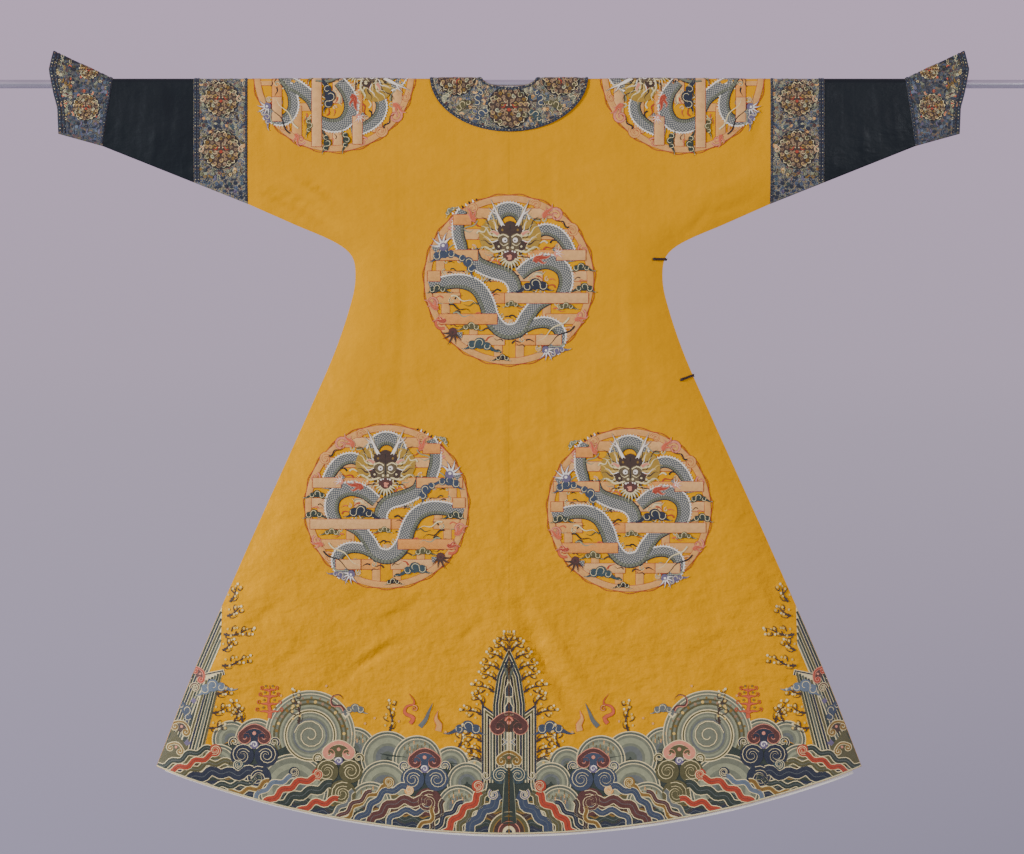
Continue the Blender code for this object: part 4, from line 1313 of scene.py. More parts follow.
def dragon_coil(hoop, line, width, side, layer):
    """A stretch of the dragon's body: scales, a plain belly with cross lines, and a white crest."""
    share = np.linspace(0, 1, len(line))
    widths = width * (0.8 + 0.2 * np.sin(math.pi * share))
    ahead = heading(line)
    hoop.band(line, widths + 0.0026, "dark", layer)
    hoop.band(line, widths, "scales", layer + 1, rise=0.0004)
    crest(hoop, line + side * 1j * ahead * widths / 2, side, layer + 2)
    belly = line - side * 1j * ahead * widths * 0.36
    hoop.band(belly, widths * 0.26, "sage", layer + 2, "dark", 0.0006)
    for spot, turn, reach in zip(belly[1:-1], ahead[1:-1], widths[1:-1]):
        hoop.band([spot - 0.11j * turn * reach, spot + 0.11j * turn * reach], 0.0008, "dark", layer + 3)


def claw(hoop, middle, size, angle, palm, talon):
    """A five-clawed foot with a tufted wrist."""
    with hoop.at(middle, angle, size, layer=12):
        tongue(hoop, wavy(-1.0 + 0j, 0.1 + 0j, 0.5, 0.1), 0.62, "scales", 0)
        for lean in (-84, -44, 0, 44, 84):
            end = towards(90 + lean * 0.8) * (1.25 if lean else 1.4) + 0.1j
            tongue(hoop, wavy(0.1j, end, 0.5, 0.1), 0.3, talon, 2, palm, 0.0007)
        hoop.bead(0.0 + 0.05j, 0.46, palm, 3, 12)
        hoop.bead(0.0 + 0.08j, 0.22, talon, 4, 10)


HORNS_AND_EARS = (
    # across and up of points, in mm, width, silk, edge
    ((12, 26, 21, 44, 27, 58, 36, 78), 0.0076, "white", "tan"),
    ((24, 50, 34, 56, 41, 64), 0.0042, "white", "tan"),
    ((22, 12, 32, 18, 40, 14), 0.0078, "pink", "cream"),
)


MANE_HAIRS, BEARD_HAIRS = 22, 4


def dragon_head(hoop):
    """The face seen from in front: mane, horns, brows, eyes, nose, jaw and beard."""
    for side in (-1, 1):
        glow = 0.031 * circle(20)
        hoop.fill(side * 0.03 + 0.01j + glow.real * 0.9 + 1j * glow.imag, "mustard", -1, rise=0.0)
    for _ in hoop.mirrored():
        for number in range(MANE_HAIRS):
            away = towards(64 - 7 * number)
            start = 0.017 * away - 0.004j
            reach = (0.07, 0.056, 0.063, 0.048)[number % 4] * (1.0 - 0.012 * number)
            end = reach * away + 0.006j
            silk = ("cream", "dark", "straw", "white", "brown", "cream")[number % 6]
            thick = (0.0044, 0.0024)[number % 2]
            tongue(hoop, wavy(start, end, 1.5, 0.003), thick, silk, number % 2)
        for points, width, silk, edge in HORNS_AND_EARS:
            tongue(hoop, drawn(*points), width, silk, 3, edge, 0.0008)
        hoop.bead(0.0115 + 0.0215j, 0.0118, "brown", 4, 12)
        hoop.bead(0.02 - 0.008j, 0.0098, "brown", 5, 12)
    hoop.bead(0.025j, 0.013, "brown", 4, 12)
    face = circle(24)
    hoop.fill(0.0225 * face.real + 1j * (0.0255 * face.imag - 0.001), "bronze", 4)
    hoop.fill(0.015 * face.real + 1j * (0.01 * face.imag + 0.017), "brown", 5)
    hoop.fill(0.0135 * face.real + 1j * (0.0125 * face.imag - 0.0265), "maroon", 5)
    hoop.fill(0.0085 * face.real + 1j * (0.0078 * face.imag - 0.0285), "pink", 6)
    for _ in hoop.mirrored():
        tongue(hoop, drawn(3, 7.5, 12, 12.5, 21, 8.5, 23.5, 3), 0.0042, "cream", 6)
        tongue(hoop, drawn(4, -4, 12, -8.5, 20, -2), 0.003, "cream", 6)
        hoop.bead(0.0098 + 0.002j, 0.0062, "brown", 6, 10)
        hoop.bead(0.0098 + 0.002j, 0.0048, "white", 7, 10)
        hoop.bead(0.0094 + 0.0016j, 0.0024, "dark", 8, 8)
        hoop.bead(0.0208 - 0.0094j, 0.0034, "cream", 6)
        hoop.bead(0.014 + 0.021j, 0.0026, "gold", 6)
        hoop.bead(0.0046 - 0.012j, 0.0038, "cream", 6)
        hoop.bead(0.0042 - 0.019j, 0.0017, "white", 7, 6)
        hoop.bead(0.0088 - 0.02j, 0.0021, "white", 7, 6)
        tongue(hoop, drawn(10, -16, 30, -20, 46, -10, 56, -18), 0.0034, "cream", 6)
        for number in range(BEARD_HAIRS):
            away = towards(18 * number - 84)
            hair = wavy(0.01 * away - 0.028j, (0.029 - 0.002 * number) * away - 0.028j, 0.5, 0.001)
            tongue(hoop, hair, 0.0046, "cream", 5, "pale sage", 0.0007)
    hoop.band([0.03j, 0.018j, 0.004j, -0.01j], [0.0015, 0.003, 0.0024, 0.004], "dark", 6)


def dragon_roundel():
    """The whole medallion, its middle at zero and the dragon's head up."""
    hoop = Hoop()
    fret(hoop)
    roundel_fillers(hoop)
    ring_band(hoop, ROUNDEL - 0.0085, 0.013, "peach", 3, "red", edge_width=0.0008)
    ring_band(hoop, ROUNDEL - 0.0004, 0.0014, "red", 4, ripple=0.0016, waves=23)
    for radius, angle, spin, silk in metres(ROUNDEL_CURLS, 1):
        foot = towards(angle) * (ROUNDEL - 0.011)
        curl(hoop, foot, radius, angle + 90, spin, silk, 4, "red", thick=0.4)
    # A fan of dark and white hairs stands out over the rim
    for step in range(8):
        foot = (ROUNDEL - 0.001) * towards(112 + 2.6 * step)
        tip = foot * (1.03 + 0.004 * (step % 3))
        hoop.band([foot, tip], [0.0038, 0.0012], ("dark", "white")[step % 2], 6)
    # Pale ribbons wave along inside the rim
    for angle in (140, 118, 62, 30):
        foot = 0.125 * towards(angle)
        hoop.band(wavy(foot, foot * np.exp(0.3j), 1.0, 0.003), 0.0022, "pale sage", 5)
    for number, (points, width, side) in enumerate(COILS):
        dragon_coil(hoop, drawn(*points), width / 1000, side, 5 + number % 2)
    for height, start, end in metres(OVER_BARS):
        bar(hoop, complex(start, height), complex(end, height), 10)
    each(hoop, cloud, ROUNDEL_CLOUDS, 12)
    each(hoop, flame, ROUNDEL_FLAMES)
    for number, (x0, y0, x1, y1) in enumerate(metres(WISPS, 4)):
        line = wavy(complex(x0, y0), complex(x1, y1), 1.6, 0.0028)
        tongue(hoop, line, 0.003, ("cream", "dark", "pale sage")[number % 3], 12)
    each(hoop, claw, CLAWS)
    with hoop.at(0.002 + 0.072j, layer=12):
        dragon_head(hoop)
    return hoop


def level_back(x, s):
    """The level of the satin that shows, over the cloth below it."""
    return np.where(on_overlap(x, s), LAYER, level_left(x, s))


def sheet_place(x, z, face):
    """A place at a height on the back (1) or the front (-1), on the opened-out sheet."""
    return complex(x, -face * (BEND - z))


ROUNDELS = (
    # name, cloth, place on the sheet, angle, mirrored, radius
    ("back_chest", left_length, sheet_place(0.0, -0.366, 1), 0, False, 0.16),
    ("back_left", left_length, sheet_place(-0.228, -0.788, 1), 0, True, 0.154),
    ("back_right", right_length, sheet_place(0.224, -0.795, 1), 0, False, 0.154),
    ("front_chest", left_length, sheet_place(0.0, -0.41, -1), 180, False, 0.156),
    ("front_left", left_length, sheet_place(-0.226, -0.8, -1), 180, False, 0.154),
    ("front_right", front_overlap, sheet_place(0.226, -0.8, -1), 180, True, 0.154),
    ("left_shoulder", left_length, complex(-0.326, 0.008), -90, False, 0.152),
    ("right_shoulder", right_length, complex(0.324, 0.008), 90, True, 0.154),
)
medallion = dragon_roundel()
for name, cloth, place, angle, flip, radius in ROUNDELS:
    sew(medallion, "roundel_" + name, cloth, level_back, place, angle, radius / ROUNDEL, flip)


# ======== Hem: waves, rocks and mountains ========
# A deep border of waves is worked along the hem, back and front. Scrolled rocks stand in the waves, striped
# bands of water run down to the edge, and a mountain rises at the middle seam and at each side seam.
# Half of it is worked on each cut, so that the halves meet at the seams.

SEAM_SHY = 0.0007
MOUNDS = (
    # distance from the middle seam, height and radius in mm, layer, flecks of a second colour
    (517, 176, 36, 1, 0), (470, 176, 40, 2, 0), (289, 158, 42, 1, 9), (226, 142, 50, 2, 0),
    (171, 138, 46, 3, 10), (108, 130, 34, 2, 0), (66, 118, 26, 1, 0), (540, 132, 36, 2, 0),
    (402, 84, 66, 4, 0), (232, 88, 50, 4, 0), (78, 96, 38, 3, 0), (258, 58, 40, 5, 7), (94, 52, 40, 5, 8),
)
GREAT_WAVE = (0.37, 0.184)
WAVE_BANDS = (
    # distance and height of points down the middle and the width in mm, silk, layer
    ((16, 74, 34, 52, 60, 30, 82, -4), 20, "blue", 6),
    ((42, 78, 60, 52, 80, 32, 100, -4), 14, "olive", 6), ((52, 80, 66, 60, 92, 38, 122, 0), 15, "red", 7),
    ((86, 60, 104, 46, 124, 28, 142, 0), 11, "navy", 6),
    ((122, 64, 127, 44, 140, 24, 150, 0), 11, "brown", 6),
    ((142, 52, 142, 34, 160, 18, 182, 4), 9, "gold", 7),
    ((148, 46, 176, 42, 208, 40, 232, 8), 13, "blue", 6),
    ((152, 62, 178, 62, 210, 60, 236, 44, 272, 10), 18, "maroon", 7),
    ((190, 88, 214, 84, 240, 72, 256, 52, 294, 14), 14, "blue", 8),
    ((226, 92, 246, 78, 276, 60, 300, 34, 316, 18), 9, "gold", 7),
    ((256, 80, 276, 66, 296, 50, 322, 26), 10, "maroon", 8),
    ((290, 82, 300, 62, 322, 42, 344, 26), 10, "grey", 6),
    ((318, 66, 340, 60, 368, 56, 396, 38), 13, "red", 8),
    ((330, 94, 362, 82, 400, 70, 436, 48), 18, "green", 7),
    ((350, 106, 382, 100, 416, 84, 462, 52), 14, "red", 9),
    ((398, 108, 428, 98, 456, 84, 480, 56), 11, "sky", 8),
    ((446, 100, 472, 86, 510, 78, 546, 78), 10, "gold", 8),
    ((460, 106, 490, 96, 520, 92, 566, 88), 12, "green", 7),
    ((478, 118, 508, 112, 548, 116, 590, 104, 618, 100), 20, "navy", 8),
    ((520, 134, 556, 132, 590, 120, 634, 106), 13, "olive", 8),
    ((544, 150, 572, 140, 606, 126, 650, 112), 12, "red", 9),
    ((556, 160, 592, 150, 626, 134, 660, 124), 12, "green", 8),
)
FOAM_CURLS = (
    # distance, height and radius in mm, start angle, spin, silk
    (58, 90, 12.5, -70, -1, "red"), (224, 96.5, 12, -70, -1, "gold"), (186, 82, 10, -60, -1, "peach"),
    (356, 112, 12, -60, -1, "red"), (547, 156, 13, -60, -1, "red"), (400, 116, 11, -60, -1, "navy"),
    (503, 130, 12, -90, 1, "teal"),
)
ROCKS = (
    # distance, height and width of the top head in mm, silks of head, curls and foot
    (157, 137, 62, "maroon", "blue", "maroon"), (317, 152, 62, "pink", "olive", "olive"),
    (474, 182, 62, "maroon", "navy", "navy"),
)
CORALS = (
    # distance and height of the root and length in mm, angle
    (0, 344, 34, 78), (4, 340, 30, 44), (12, 326, 32, 28), (18, 306, 36, 24), (23, 286, 36, 30),
    (28, 264, 44, 24), (48, 240, 30, 52), (51, 222, 40, 18), (51, 172, 36, 24), (52, 152, 34, 22),
    (52, 136, 30, 30), (94, 162, 42, 104), (222, 192, 56, 92), (392, 206, 64, 84), (496, 208, 46, 66),
    (512, 210, 30, 112), (521, 432, 36, 118), (526, 406, 32, 150), (532, 372, 58, 172),
    (534, 342, 30, 140), (535, 314, 56, 164), (546, 262, 30, 168), (552, 226, 34, 160),
    (558, 198, 30, 170),
)
HEM_CLOUDS = (
    # distance, height and size in mm, angle, mirrored, silk
    (76, 196, 24, 0, False, "blue"), (552, 272, 24, -8, True, "sky"), (604, 228, 20, 60, False, "blue"),
    (597, 300, 13, 70, True, "navy"), (286, 232, 17, 0, False, "grey"),
)
PEAK_LINE = ((0.0, 0.346), (0.01, 0.326), (0.0224, 0.295), (0.03, 0.2425), (0.03, 0.096))
SHOULDER_LINE = ((0.022, 0.222), (0.036, 0.232), (0.051, 0.243), (0.051, 0.096))
STRIPE = 0.0052


def mound(hoop, middle, radius, layer, flecks):
    """A rounded wave: soft rows of stitches round its middle, and a double pale outline."""
    greens = ("deep sage", "grey", "sage", "pale sage", "sage")
    rows = round((radius - 0.008) / 0.0052)
    radii = [*np.linspace(0.002, radius - 0.0074, rows + 1), radius - 0.006, radius - 0.0018, radius]
    silks = [greens[min(4, row * 5 // rows)] for row in range(rows)] + ["cream", "deep sage", "cream"]
    with hoop.at(middle, layer=layer):
        hoop.rings(radii, silks, -30, 210)
        for number in range(flecks * 2):
            place = (radius - 0.014) * (0.5 + 0.45 * (number % 3) / 2)
            place = place * towards(25 + 130 * number / (2 * flecks))
            silk = ("peach", "olive", "gold", "pale sage")[number % 4]
            hoop.band(wavy(place, place + 0.006j - 0.002, 1, 0.001), 0.0016, silk, 1)


def great_wave(hoop):
    """The largest wave: a coiled middle inside a beaded arch."""
    with hoop.at(complex(*GREAT_WAVE), layer=3):
        arch = [*np.arange(49, 74, 4) / 1000, 0.0765, 0.078, 0.0822, 0.084]
        silks = ["sage", "pale sage", "olive", "sage", "olive", "pale sage", "sage", "cream", "sage"]
        hoop.rings(arch, [*silks, "cream"], -24, 204)
        for number, angle in enumerate(range(8, 178, 13)):
            hoop.bead(0.063 * towards(angle), 0.003, ("gold", "straw", "tan")[number % 3], 1)
            hoop.bead(0.0705 * towards(angle + 6), 0.0022, ("gold", "tan")[number % 2], 1)
        coil = [*np.arange(21.5, 43, 3.5) / 1000, 0.0442, 0.047, 0.049]
        silks = ["sage", "pale sage", "grey", "sage", "pale sage", "sage", "cream", "olive", "cream"]
        hoop.rings(coil, silks, 0, 360, 2)
        hoop.bead(0j, 0.0216, "sage", 2, 24, 0.0004)
        hoop.band(spiral(0j, 0.03, 1.9, 10, 1), 0.0026, "cream", 5, "olive", 0.0005)


def ruyi(hoop, middle, width, silk, ground, layer, angle=0):
    """A scrolled cloud head: two inward curls under one arch."""
    edge = "pink" if silk in ("maroon", "red") else "cream"
    with hoop.at(middle, angle, width, layer=layer):
        lobe = spiral(0.27 - 0.02j, 0.18, 1.25, 68, -1)
        arch = rounded([(-0.337, 0.147), (-0.2, 0.25), (0.0, 0.31), (0.2, 0.25), (0.337, 0.147)], 0.07)
        ring = circle(28)
        hoop.fill(0.42 * ring.real + 1j * (0.22 * ring.imag + 0.07), ground)
        line = np.r_[-lobe[::-1].conj(), arch[1:-1], lobe]
        hoop.band(line, 0.155, silk, 1, edge, 0.0013)
        hoop.bead(0.1j, 0.085, "pink", 2)


def double_curl(hoop, middle, radius, silk, layer):
    """Two curls back to back."""
    with hoop.at(middle, size=radius, layer=layer):
        for _ in hoop.mirrored():
            hoop.bead(0.98 + 0j, 0.96, silk, 0, 20)
            curl(hoop, 0.98 + 0j, 1.0, 150, -1, silk, 1, turns=1.35, thick=0.4)


def rock(hoop, middle, width, head, curls, foot):
    """A rock in the waves: a cloud head on a pair of curls, on one more curl."""
    with hoop.at(middle, size=width, layer=6):
        with hoop.at(-0.1 - 1.24j):
            hoop.bead(0j, 0.42, foot, 0, 20)
            curl(hoop, 0j, 0.38, 120, -1, foot, 1, turns=1.5, thick=0.36)
        double_curl(hoop, -0.56j, 0.37, curls, 1)
        for _ in hoop.mirrored():
            curl(hoop, 0.6 - 0.16j, 0.2, -40, 1, curls, 2, turns=1.1, thick=0.45)
        hoop.bead(-0.24j, 0.13, "violet", 3, 12)
        hoop.band(spiral(-0.24j, 0.1, 1.2, 0), 0.035, "white", 4)
        ruyi(hoop, 0j, 1.0, head, curls, 3)


RIPPLE_PITCH, RIPPLE_HEIGHT = 0.034, 0.0034


def wave_band(hoop, line, width, silk, layer, edge="cream"):
    """A rippling stripe of water with couched edges."""
    along = length_along(line)
    ahead = heading(line)
    line = line + 1j * ahead * RIPPLE_HEIGHT * np.sin(2 * math.pi * along / RIPPLE_PITCH)
    hoop.band(line, width, silk, layer, edge, 0.0014)
    hoop.band(line, 0.0008, "maroon" if silk in ("red", "gold") else "grey", layer + 1, rise=FLAT)


def foam(hoop, middle, radius, start, spin, silk):
    """A curl of foam at the head of a wave."""
    hoop.bead(middle, radius * 0.9, silk, 9, 14)
    curl(hoop, middle, radius, start, spin, silk, 10, turns=1.4)


def coral(hoop, root, length, angle):
    """A curled brown branch hung with beads."""
    with hoop.at(root, angle - 90, length, layer=6):
        tongue(hoop, wavy(0j, 1j, 0.8, 0.07, 0.0, 0.12), 0.0042 / length, "brown", 2)
        twigs = max(2, round(length / 0.0105))
        for number in range(twigs):
            share = (number + 0.7) / (twigs + 0.3)
            foot = 1j * share + 0.05 * math.sin(5 * share)
            side = 1 if number % 2 else -1
            reach = 0.009 / length * (1.15 - 0.5 * share)
            hook = np.array([0, 0.8 * side + 0.3j * side, 1.2 * side + 0.9j, 0.8 * side + 1.25j])
            hook = foot + reach * hook
            hook = rounded(np.stack([hook.real, hook.imag], 1), 0.08)
            tongue(hoop, hook, 0.0023 / length, "brown", 1)
            hoop.bead(foot + reach * (0.62 * side + 0.72j), 0.0026 / length, "straw", 3, 7)
            silk = ("straw", "cream")[number % 2]
            hoop.bead(foot + reach * (0.3j - 0.72 * side), 0.0024 / length, silk, 1, 7)
        hoop.bead(1.02j + 0.06, 0.0026 / length, "cream", 3, 7)


def peak(hoop, line, count, layer, silks):
    """Nested stripes of a mountain inside its outline, on a pale ground that shows between them."""
    whole = np.array([complex(-x, y) for x, y in line[:0:-1]] + [complex(x, y) for x, y in line])
    hoop.fill(whole, "cream", layer, rise=FLAT)
    ahead = np.diff(whole)
    ahead /= np.abs(ahead)
    corner = np.r_[ahead[:1], ahead] + np.r_[ahead, ahead[-1:]]
    corner /= np.abs(corner)
    inward = -1j * corner / (corner * np.r_[ahead[:1], ahead].conj()).real
    for number in range(count):
        stripe = whole + inward * (number + 0.5) * STRIPE
        fine = [np.linspace(a, b, 9)[:-1] for a, b in zip(stripe, stripe[1:])]
        silk = silks[number % len(silks)]
        hoop.band(np.concatenate([*fine, stripe[-1:]]), STRIPE - 0.001, silk, layer + 1)


def window(hoop, foot, half, height):
    """A pointed opening in the mountain."""
    shape = [(-half, 0), (half, 0), (half, height * 0.55), (0, height), (-half, height * 0.55)]
    outline = foot + closed(shape) @ [1, 1j]
    hoop.fill(outline, "navy", 9, rise=FLAT)
    hoop.band(outline, 0.0016, "cream", 10)


def middle_mountain(hoop):
    stripes = ("green", "navy", "olive", "dark", "deep sage")
    for side in (1, -1):
        shoulder = [complex(side * x, y) for x, y in SHOULDER_LINE]
        hoop.fill(shoulder + [complex(side * 0.022, 0.096)], "cream", 5, rise=FLAT)
        for number in range(4):
            inset = (number + 0.42) * STRIPE
            edge = side * (0.051 - inset)
            top, corner = side * 0.024 + (0.224 - 1.3 * inset) * 1j, edge + (0.243 - 1.9 * inset) * 1j
            fine = np.r_[np.linspace(top, corner, 10), np.linspace(corner, edge + 0.096j, 10)[1:]]
            hoop.band(fine, STRIPE - 0.0015, stripes[(number + 1) % 5], 6)
    peak(hoop, PEAK_LINE, 5, 7, stripes)
    window(hoop, 0.256j, 0.007, 0.028)
    window(hoop, 0.222j, 0.0078, 0.026)
    for _ in hoop.mirrored():
        hoop.band([0.012 + 0.166j, 0.004 + 0.172j, 0.012 + 0.178j], 0.004, "sky", 9, "cream", 0.001)
    double_curl(hoop, 0.11j, 0.017, "teal", 9)
    for _ in hoop.mirrored():
        curl(hoop, 0.043 + 0.11j, 0.011, 200, 1, "blue", 9, turns=1.1)
        curl(hoop, 0.0285 + 0.0745j, 0.0125, 60, -1, "violet", 9, turns=1.4)
    foot = np.linspace(0.124j, 0.02j, 16)
    hoop.band(foot, np.linspace(0.016, 0.03, 16), "green", 8, "pale sage", 0.0013)
    hoop.band(foot, 0.0012, "grey", 9)
    ruyi(hoop, 0.138j, 0.05, "gold", "olive", 9)
    ruyi(hoop, 0.201j, 0.072, "maroon", "brown", 9)
    curl(hoop, 0.211j - 0.002, 0.011, 0, 1, "pink", 12, "red", 1.2)
    with hoop.at(0.004j, layer=9):
        arcs = [0.006, 0.012, 0.019, 0.0206, 0.028, 0.03, 0.0365, 0.0385]
        hoop.rings(arcs, ["cream", "maroon", "pink", "brown", "gold", "olive", "cream"], -30, 210)


def side_mountain(hoop):
    """The half mountain along the side seam, in two tiers of stripes."""
    stripes = ("green", "navy", "olive", "green", "deep sage")
    heights = np.linspace(0.0, 1.0, 24)

    def seam(height, offset):
        return side_x(height - HEM_DROP) - offset + 1j * height

    tier = np.r_[seam(np.linspace(0.424, 0.17, 20), 0.0), seam(np.array([0.17, 0.3, 0.352]), 0.03)]
    hoop.fill(tier, "cream", 2, rise=FLAT)
    behind = [0.566 + 0.3j, seam(0.3, 0.026), seam(0.15, 0.026), 0.6 + 0.15j]
    hoop.fill(behind, "green", 1, rise=FLAT)
    for number in range(5):
        height = 0.414 - 0.013 * number + (0.17 - 0.414) * heights
        hoop.band(seam(height, 0.0034 + STRIPE * 1.05 * number), STRIPE - 0.0012, stripes[number], 3)
    inner, outer = (0.533 + 0.302j, 0.57 + 0.15j), (0.566 + 0.294j, 0.606 + 0.15j)
    hoop.fill([inner[0], *outer, inner[1]], "cream", 4, rise=FLAT)
    for number in range(6):
        share = (number + 0.5) / 6
        top, foot = (a + (b - a) * share for a, b in zip(inner, outer))
        hoop.band(np.linspace(top - 0.0016j * number, foot, 24), 0.0042, stripes[(number + 2) % 5], 5)
    roof = [0.531 + 0.296j, 0.533 + 0.304j, 0.566 + 0.297j]
    hoop.band(roof, 0.005, "navy", 6, "cream", 0.0012)
    corner = seam(np.linspace(0.2, 0.118, 8), 0.0)
    hoop.fill([*corner, 0.56 + 0.128j, 0.6 + 0.166j], "olive", 3)
    ruyi(hoop, 0.579 + 0.296j, 0.034, "red", "maroon", 7, 60)
    curl(hoop, 0.585 + 0.272j, 0.012, 0, 1, "maroon", 7)
    ruyi(hoop, 0.612 + 0.196j, 0.042, "gold", "brown", 7, 26)
    ruyi(hoop, 0.622 + 0.158j, 0.036, "gold", "olive", 7, 20)
    hoop.bead(0.588 + 0.248j, 0.006, "violet", 6, 4)
    hoop.bead(0.599 + 0.17j, 0.007, "violet", 6, 4)
    hoop.bead(0.606 + 0.142j, 0.005, "navy", 7, 4)


def emblems(hoop):
    """Treasures that float over the waves: branching coral, scrolls, a lozenge, a horn and a pearl."""
    with hoop.at(0.446 + 0.216j, layer=4):
        tongue(hoop, wavy(0j, 0.062j, 1.5, 0.0016), 0.008, "coral", 1, "red")
        for number, height in enumerate((0.01, 0.024, 0.038, 0.05)):
            reach = 0.022 - 0.003 * number
            for _ in hoop.mirrored():
                end = complex(reach, height + 0.006)
                tongue(hoop, wavy(1j * height, end, 1.0, 0.0014), 0.0056, "coral", 2, "red")
                curl(hoop, end + 0.001j, 0.0052, -90, 1, "coral", 3, "red", 1.0)
                hoop.bead(complex(reach * 0.5, height + 0.01), 0.0024, "gold", 3, 7)
    scroll = drawn(306, 226, 312, 238, 328, 240, 330, 254, 316, 260, 308, 252)
    tongue(hoop, scroll, 0.006, "maroon", 6)
    tongue(hoop, scroll + 0.0012 - 0.0012j, 0.0018, "pink", 7)
    hoop.bead(0.304 + 0.224j, 0.0085, "cream", 6, 4)
    hoop.bead(0.304 + 0.224j, 0.005, "grey", 7, 4)
    twist = drawn(184, 206, 178, 216, 194, 226, 190, 238, 176, 244, 186, 262)
    tongue(hoop, twist, 0.008, "coral", 6, "red")
    curl(hoop, 0.176 + 0.234j, 0.008, 60, 1, "peach", 7, "red")
    tongue(hoop, drawn(166, 200, 156, 212, 150, 226, 142, 244), 0.009, "grey", 6)
    tongue(hoop, drawn(132, 192, 130, 204, 136, 214, 132, 230), 0.013, "peach", 6, "coral")
    for x, y in ((118, 190), (205, 210), (250, 216), (268, 206), (340, 276), (424, 258)):
        hoop.bead(complex(x, y) / 1000, 0.0026, "peach", 6, 7)


# In mm: across and up of points over the waves, from the side seam to the middle
SKYLINE = (654, 165, 575, 150, 520, 172, 450, 178, 350, 172, 250, 152, 150, 138, 66, 128, 0, 118)


def hem_edge(count, up):
    """Points across and up of the hem's own curve, so far up from its edge."""
    x = np.linspace(0.0, HEM_HALF, count)
    return np.stack([x, HEM_RISE * (x / HEM_HALF) ** 2 + up], 1)


def half_hem():
    """Half the border: across from the middle seam to the side seam, up from the hem's lowest point."""
    hoop = Hoop()
    ground = np.vstack([hem_edge(40, 0.0), np.reshape(SKYLINE, (-1, 2)) / 1000])
    hoop.fill(ground @ [1, 1j], "green", 0, rise=0.0)
    for up, silk in ((0.05, "olive"), (0.034, "brown"), (0.018, "green"), (0.006, "navy")):
        wave_band(hoop, rounded(hem_edge(9, up)), 0.015, silk, 1, "gold")
    hoop.band(hem_edge(110, 0.0018) @ [1, 1j], 0.0034, "cream", 12, "pale sage", 0.0008)
    each(hoop, mound, MOUNDS)
    great_wave(hoop)
    for points, width, silk, layer in WAVE_BANDS:
        wave_band(hoop, drawn(*points), width / 1000, silk, layer)
    each(hoop, foam, FOAM_CURLS)
    each(hoop, rock, ROCKS)
    side_mountain(hoop)
    middle_mountain(hoop)
    each(hoop, coral, CORALS)
    each(hoop, cloud, HEM_CLOUDS, 8)
    emblems(hoop)
    return hoop


def trimmed_to(side):
    """Keeps stitches on their own half: off the middle seam, the side seam and the hem's edge."""

    def trim(x, s):
        reach = np.minimum(side_x(BEND - np.abs(s)), HEM_HALF) - HEM_SHY
        x = side * np.clip(side * x, SEAM_SHY, reach)
        return x, np.sign(s) * np.minimum(np.abs(s), hem_s(x) - HEM_SHY)

    return trim


border_half = half_hem()
HEM_HALVES = (
    # name, cloth, face, side it lies on (-1 left, 1 right)
    ("hem_back_left", left_length, 1, -1),
    ("hem_back_right", right_length, 1, 1),
    ("hem_front_left", left_length, -1, -1),
    ("hem_front_right", front_overlap, -1, 1),
)
for name, cloth, face, side in HEM_HALVES:
    foot = sheet_place(0.0, -HEM_DROP, face)
    angle = 0 if face > 0 else 180
    sew(border_half, name, cloth, level_back, foot, angle, 1.0, side * face < 0, over_rod, trimmed_to(side))


# ======== Collar and band embroidery ========
# The dark patterned silk is covered with small medallions among packed clouds, petals and waves in many
# colours. A navy guard cord with pale stitches finishes every edge of the bands.

BIT_COLOURS = {
    "field": (
        "sage", "olive", "maroon", "teal", "tan", "brown", "blue", "peach", "grey", "navy", "pale sage",
    ),
    "water": ("navy", "blue", "navy", "sky", "navy", "teal", "navy", "blue", "navy", "violet"),
    "cloud": ("olive", "pale sage", "gold", "sage", "navy", "brown"),
    "bright": ("dark", "maroon", "sage", "teal", "navy", "olive", "navy", "blue", "coral", "navy"),
}
BIT_EDGES = {
    "field": ("cream", "pale sage", "cream", "dark", "tan"),
    "water": ("sky", "navy", "dark", "sky", "navy"),
    "cloud": ("pale sage", "dark", "cream", "dark"),
    "bright": ("pale sage", "dark", "cream", "navy", "grey"),
}
GUARD, GUARD_PITCH, GUARD_LAYER = 0.0048, 0.0062, 9


def mosaic(hoop, low, high, spacing, colours, seed, layer, clear=()):
    """Packed clouds, petals and knots in a field between two corners, kept off the medallions in it."""
    pick = random.Random(seed)
    columns = max(1, round((high - low).real / spacing))
    rows = max(1, round((high - low).imag / spacing))
    for cell in range(columns * rows):
        across = (cell % columns + pick.uniform(0.15, 0.85)) / columns
        up = (cell // columns + pick.uniform(0.15, 0.85)) / rows
        place = complex(low.real + across * (high - low).real, low.imag + up * (high - low).imag)
        angle, kind, raised = pick.uniform(0, 360), pick.random(), layer + pick.randrange(3)
        silk, edge = pick.choice(BIT_COLOURS[colours]), pick.choice(BIT_EDGES[colours])
        if any(abs(place - middle) < radius for middle, radius in clear):
            continue
        with hoop.at(place, angle, spacing * 0.86, pick.random() < 0.5, raised):
            if kind < 0.36:
                hoop.band(wavy(-0.6 + 0j, 0.6 + 0j, 0.8, 0.14, 0.1), 0.5, silk, 0, edge, 0.0006)
            elif kind < 0.7:
                hoop.bead(0j, 0.5, silk, 0, 8)
                hoop.band(spiral(0j, 0.46, 1.1, 0, 1, 0.2), 0.0008 / abs(hoop.turn), edge, 1)
            elif kind < 0.86:
                hoop.band(spiral(0j, 0.46, 0.9, 90, -1, 0.3), 0.0016 / abs(hoop.turn), silk, 0)
            else:
                hoop.bead(0j, 0.36, silk, 0, 7)
                hoop.bead(0j, 0.14, edge, 1, 5)


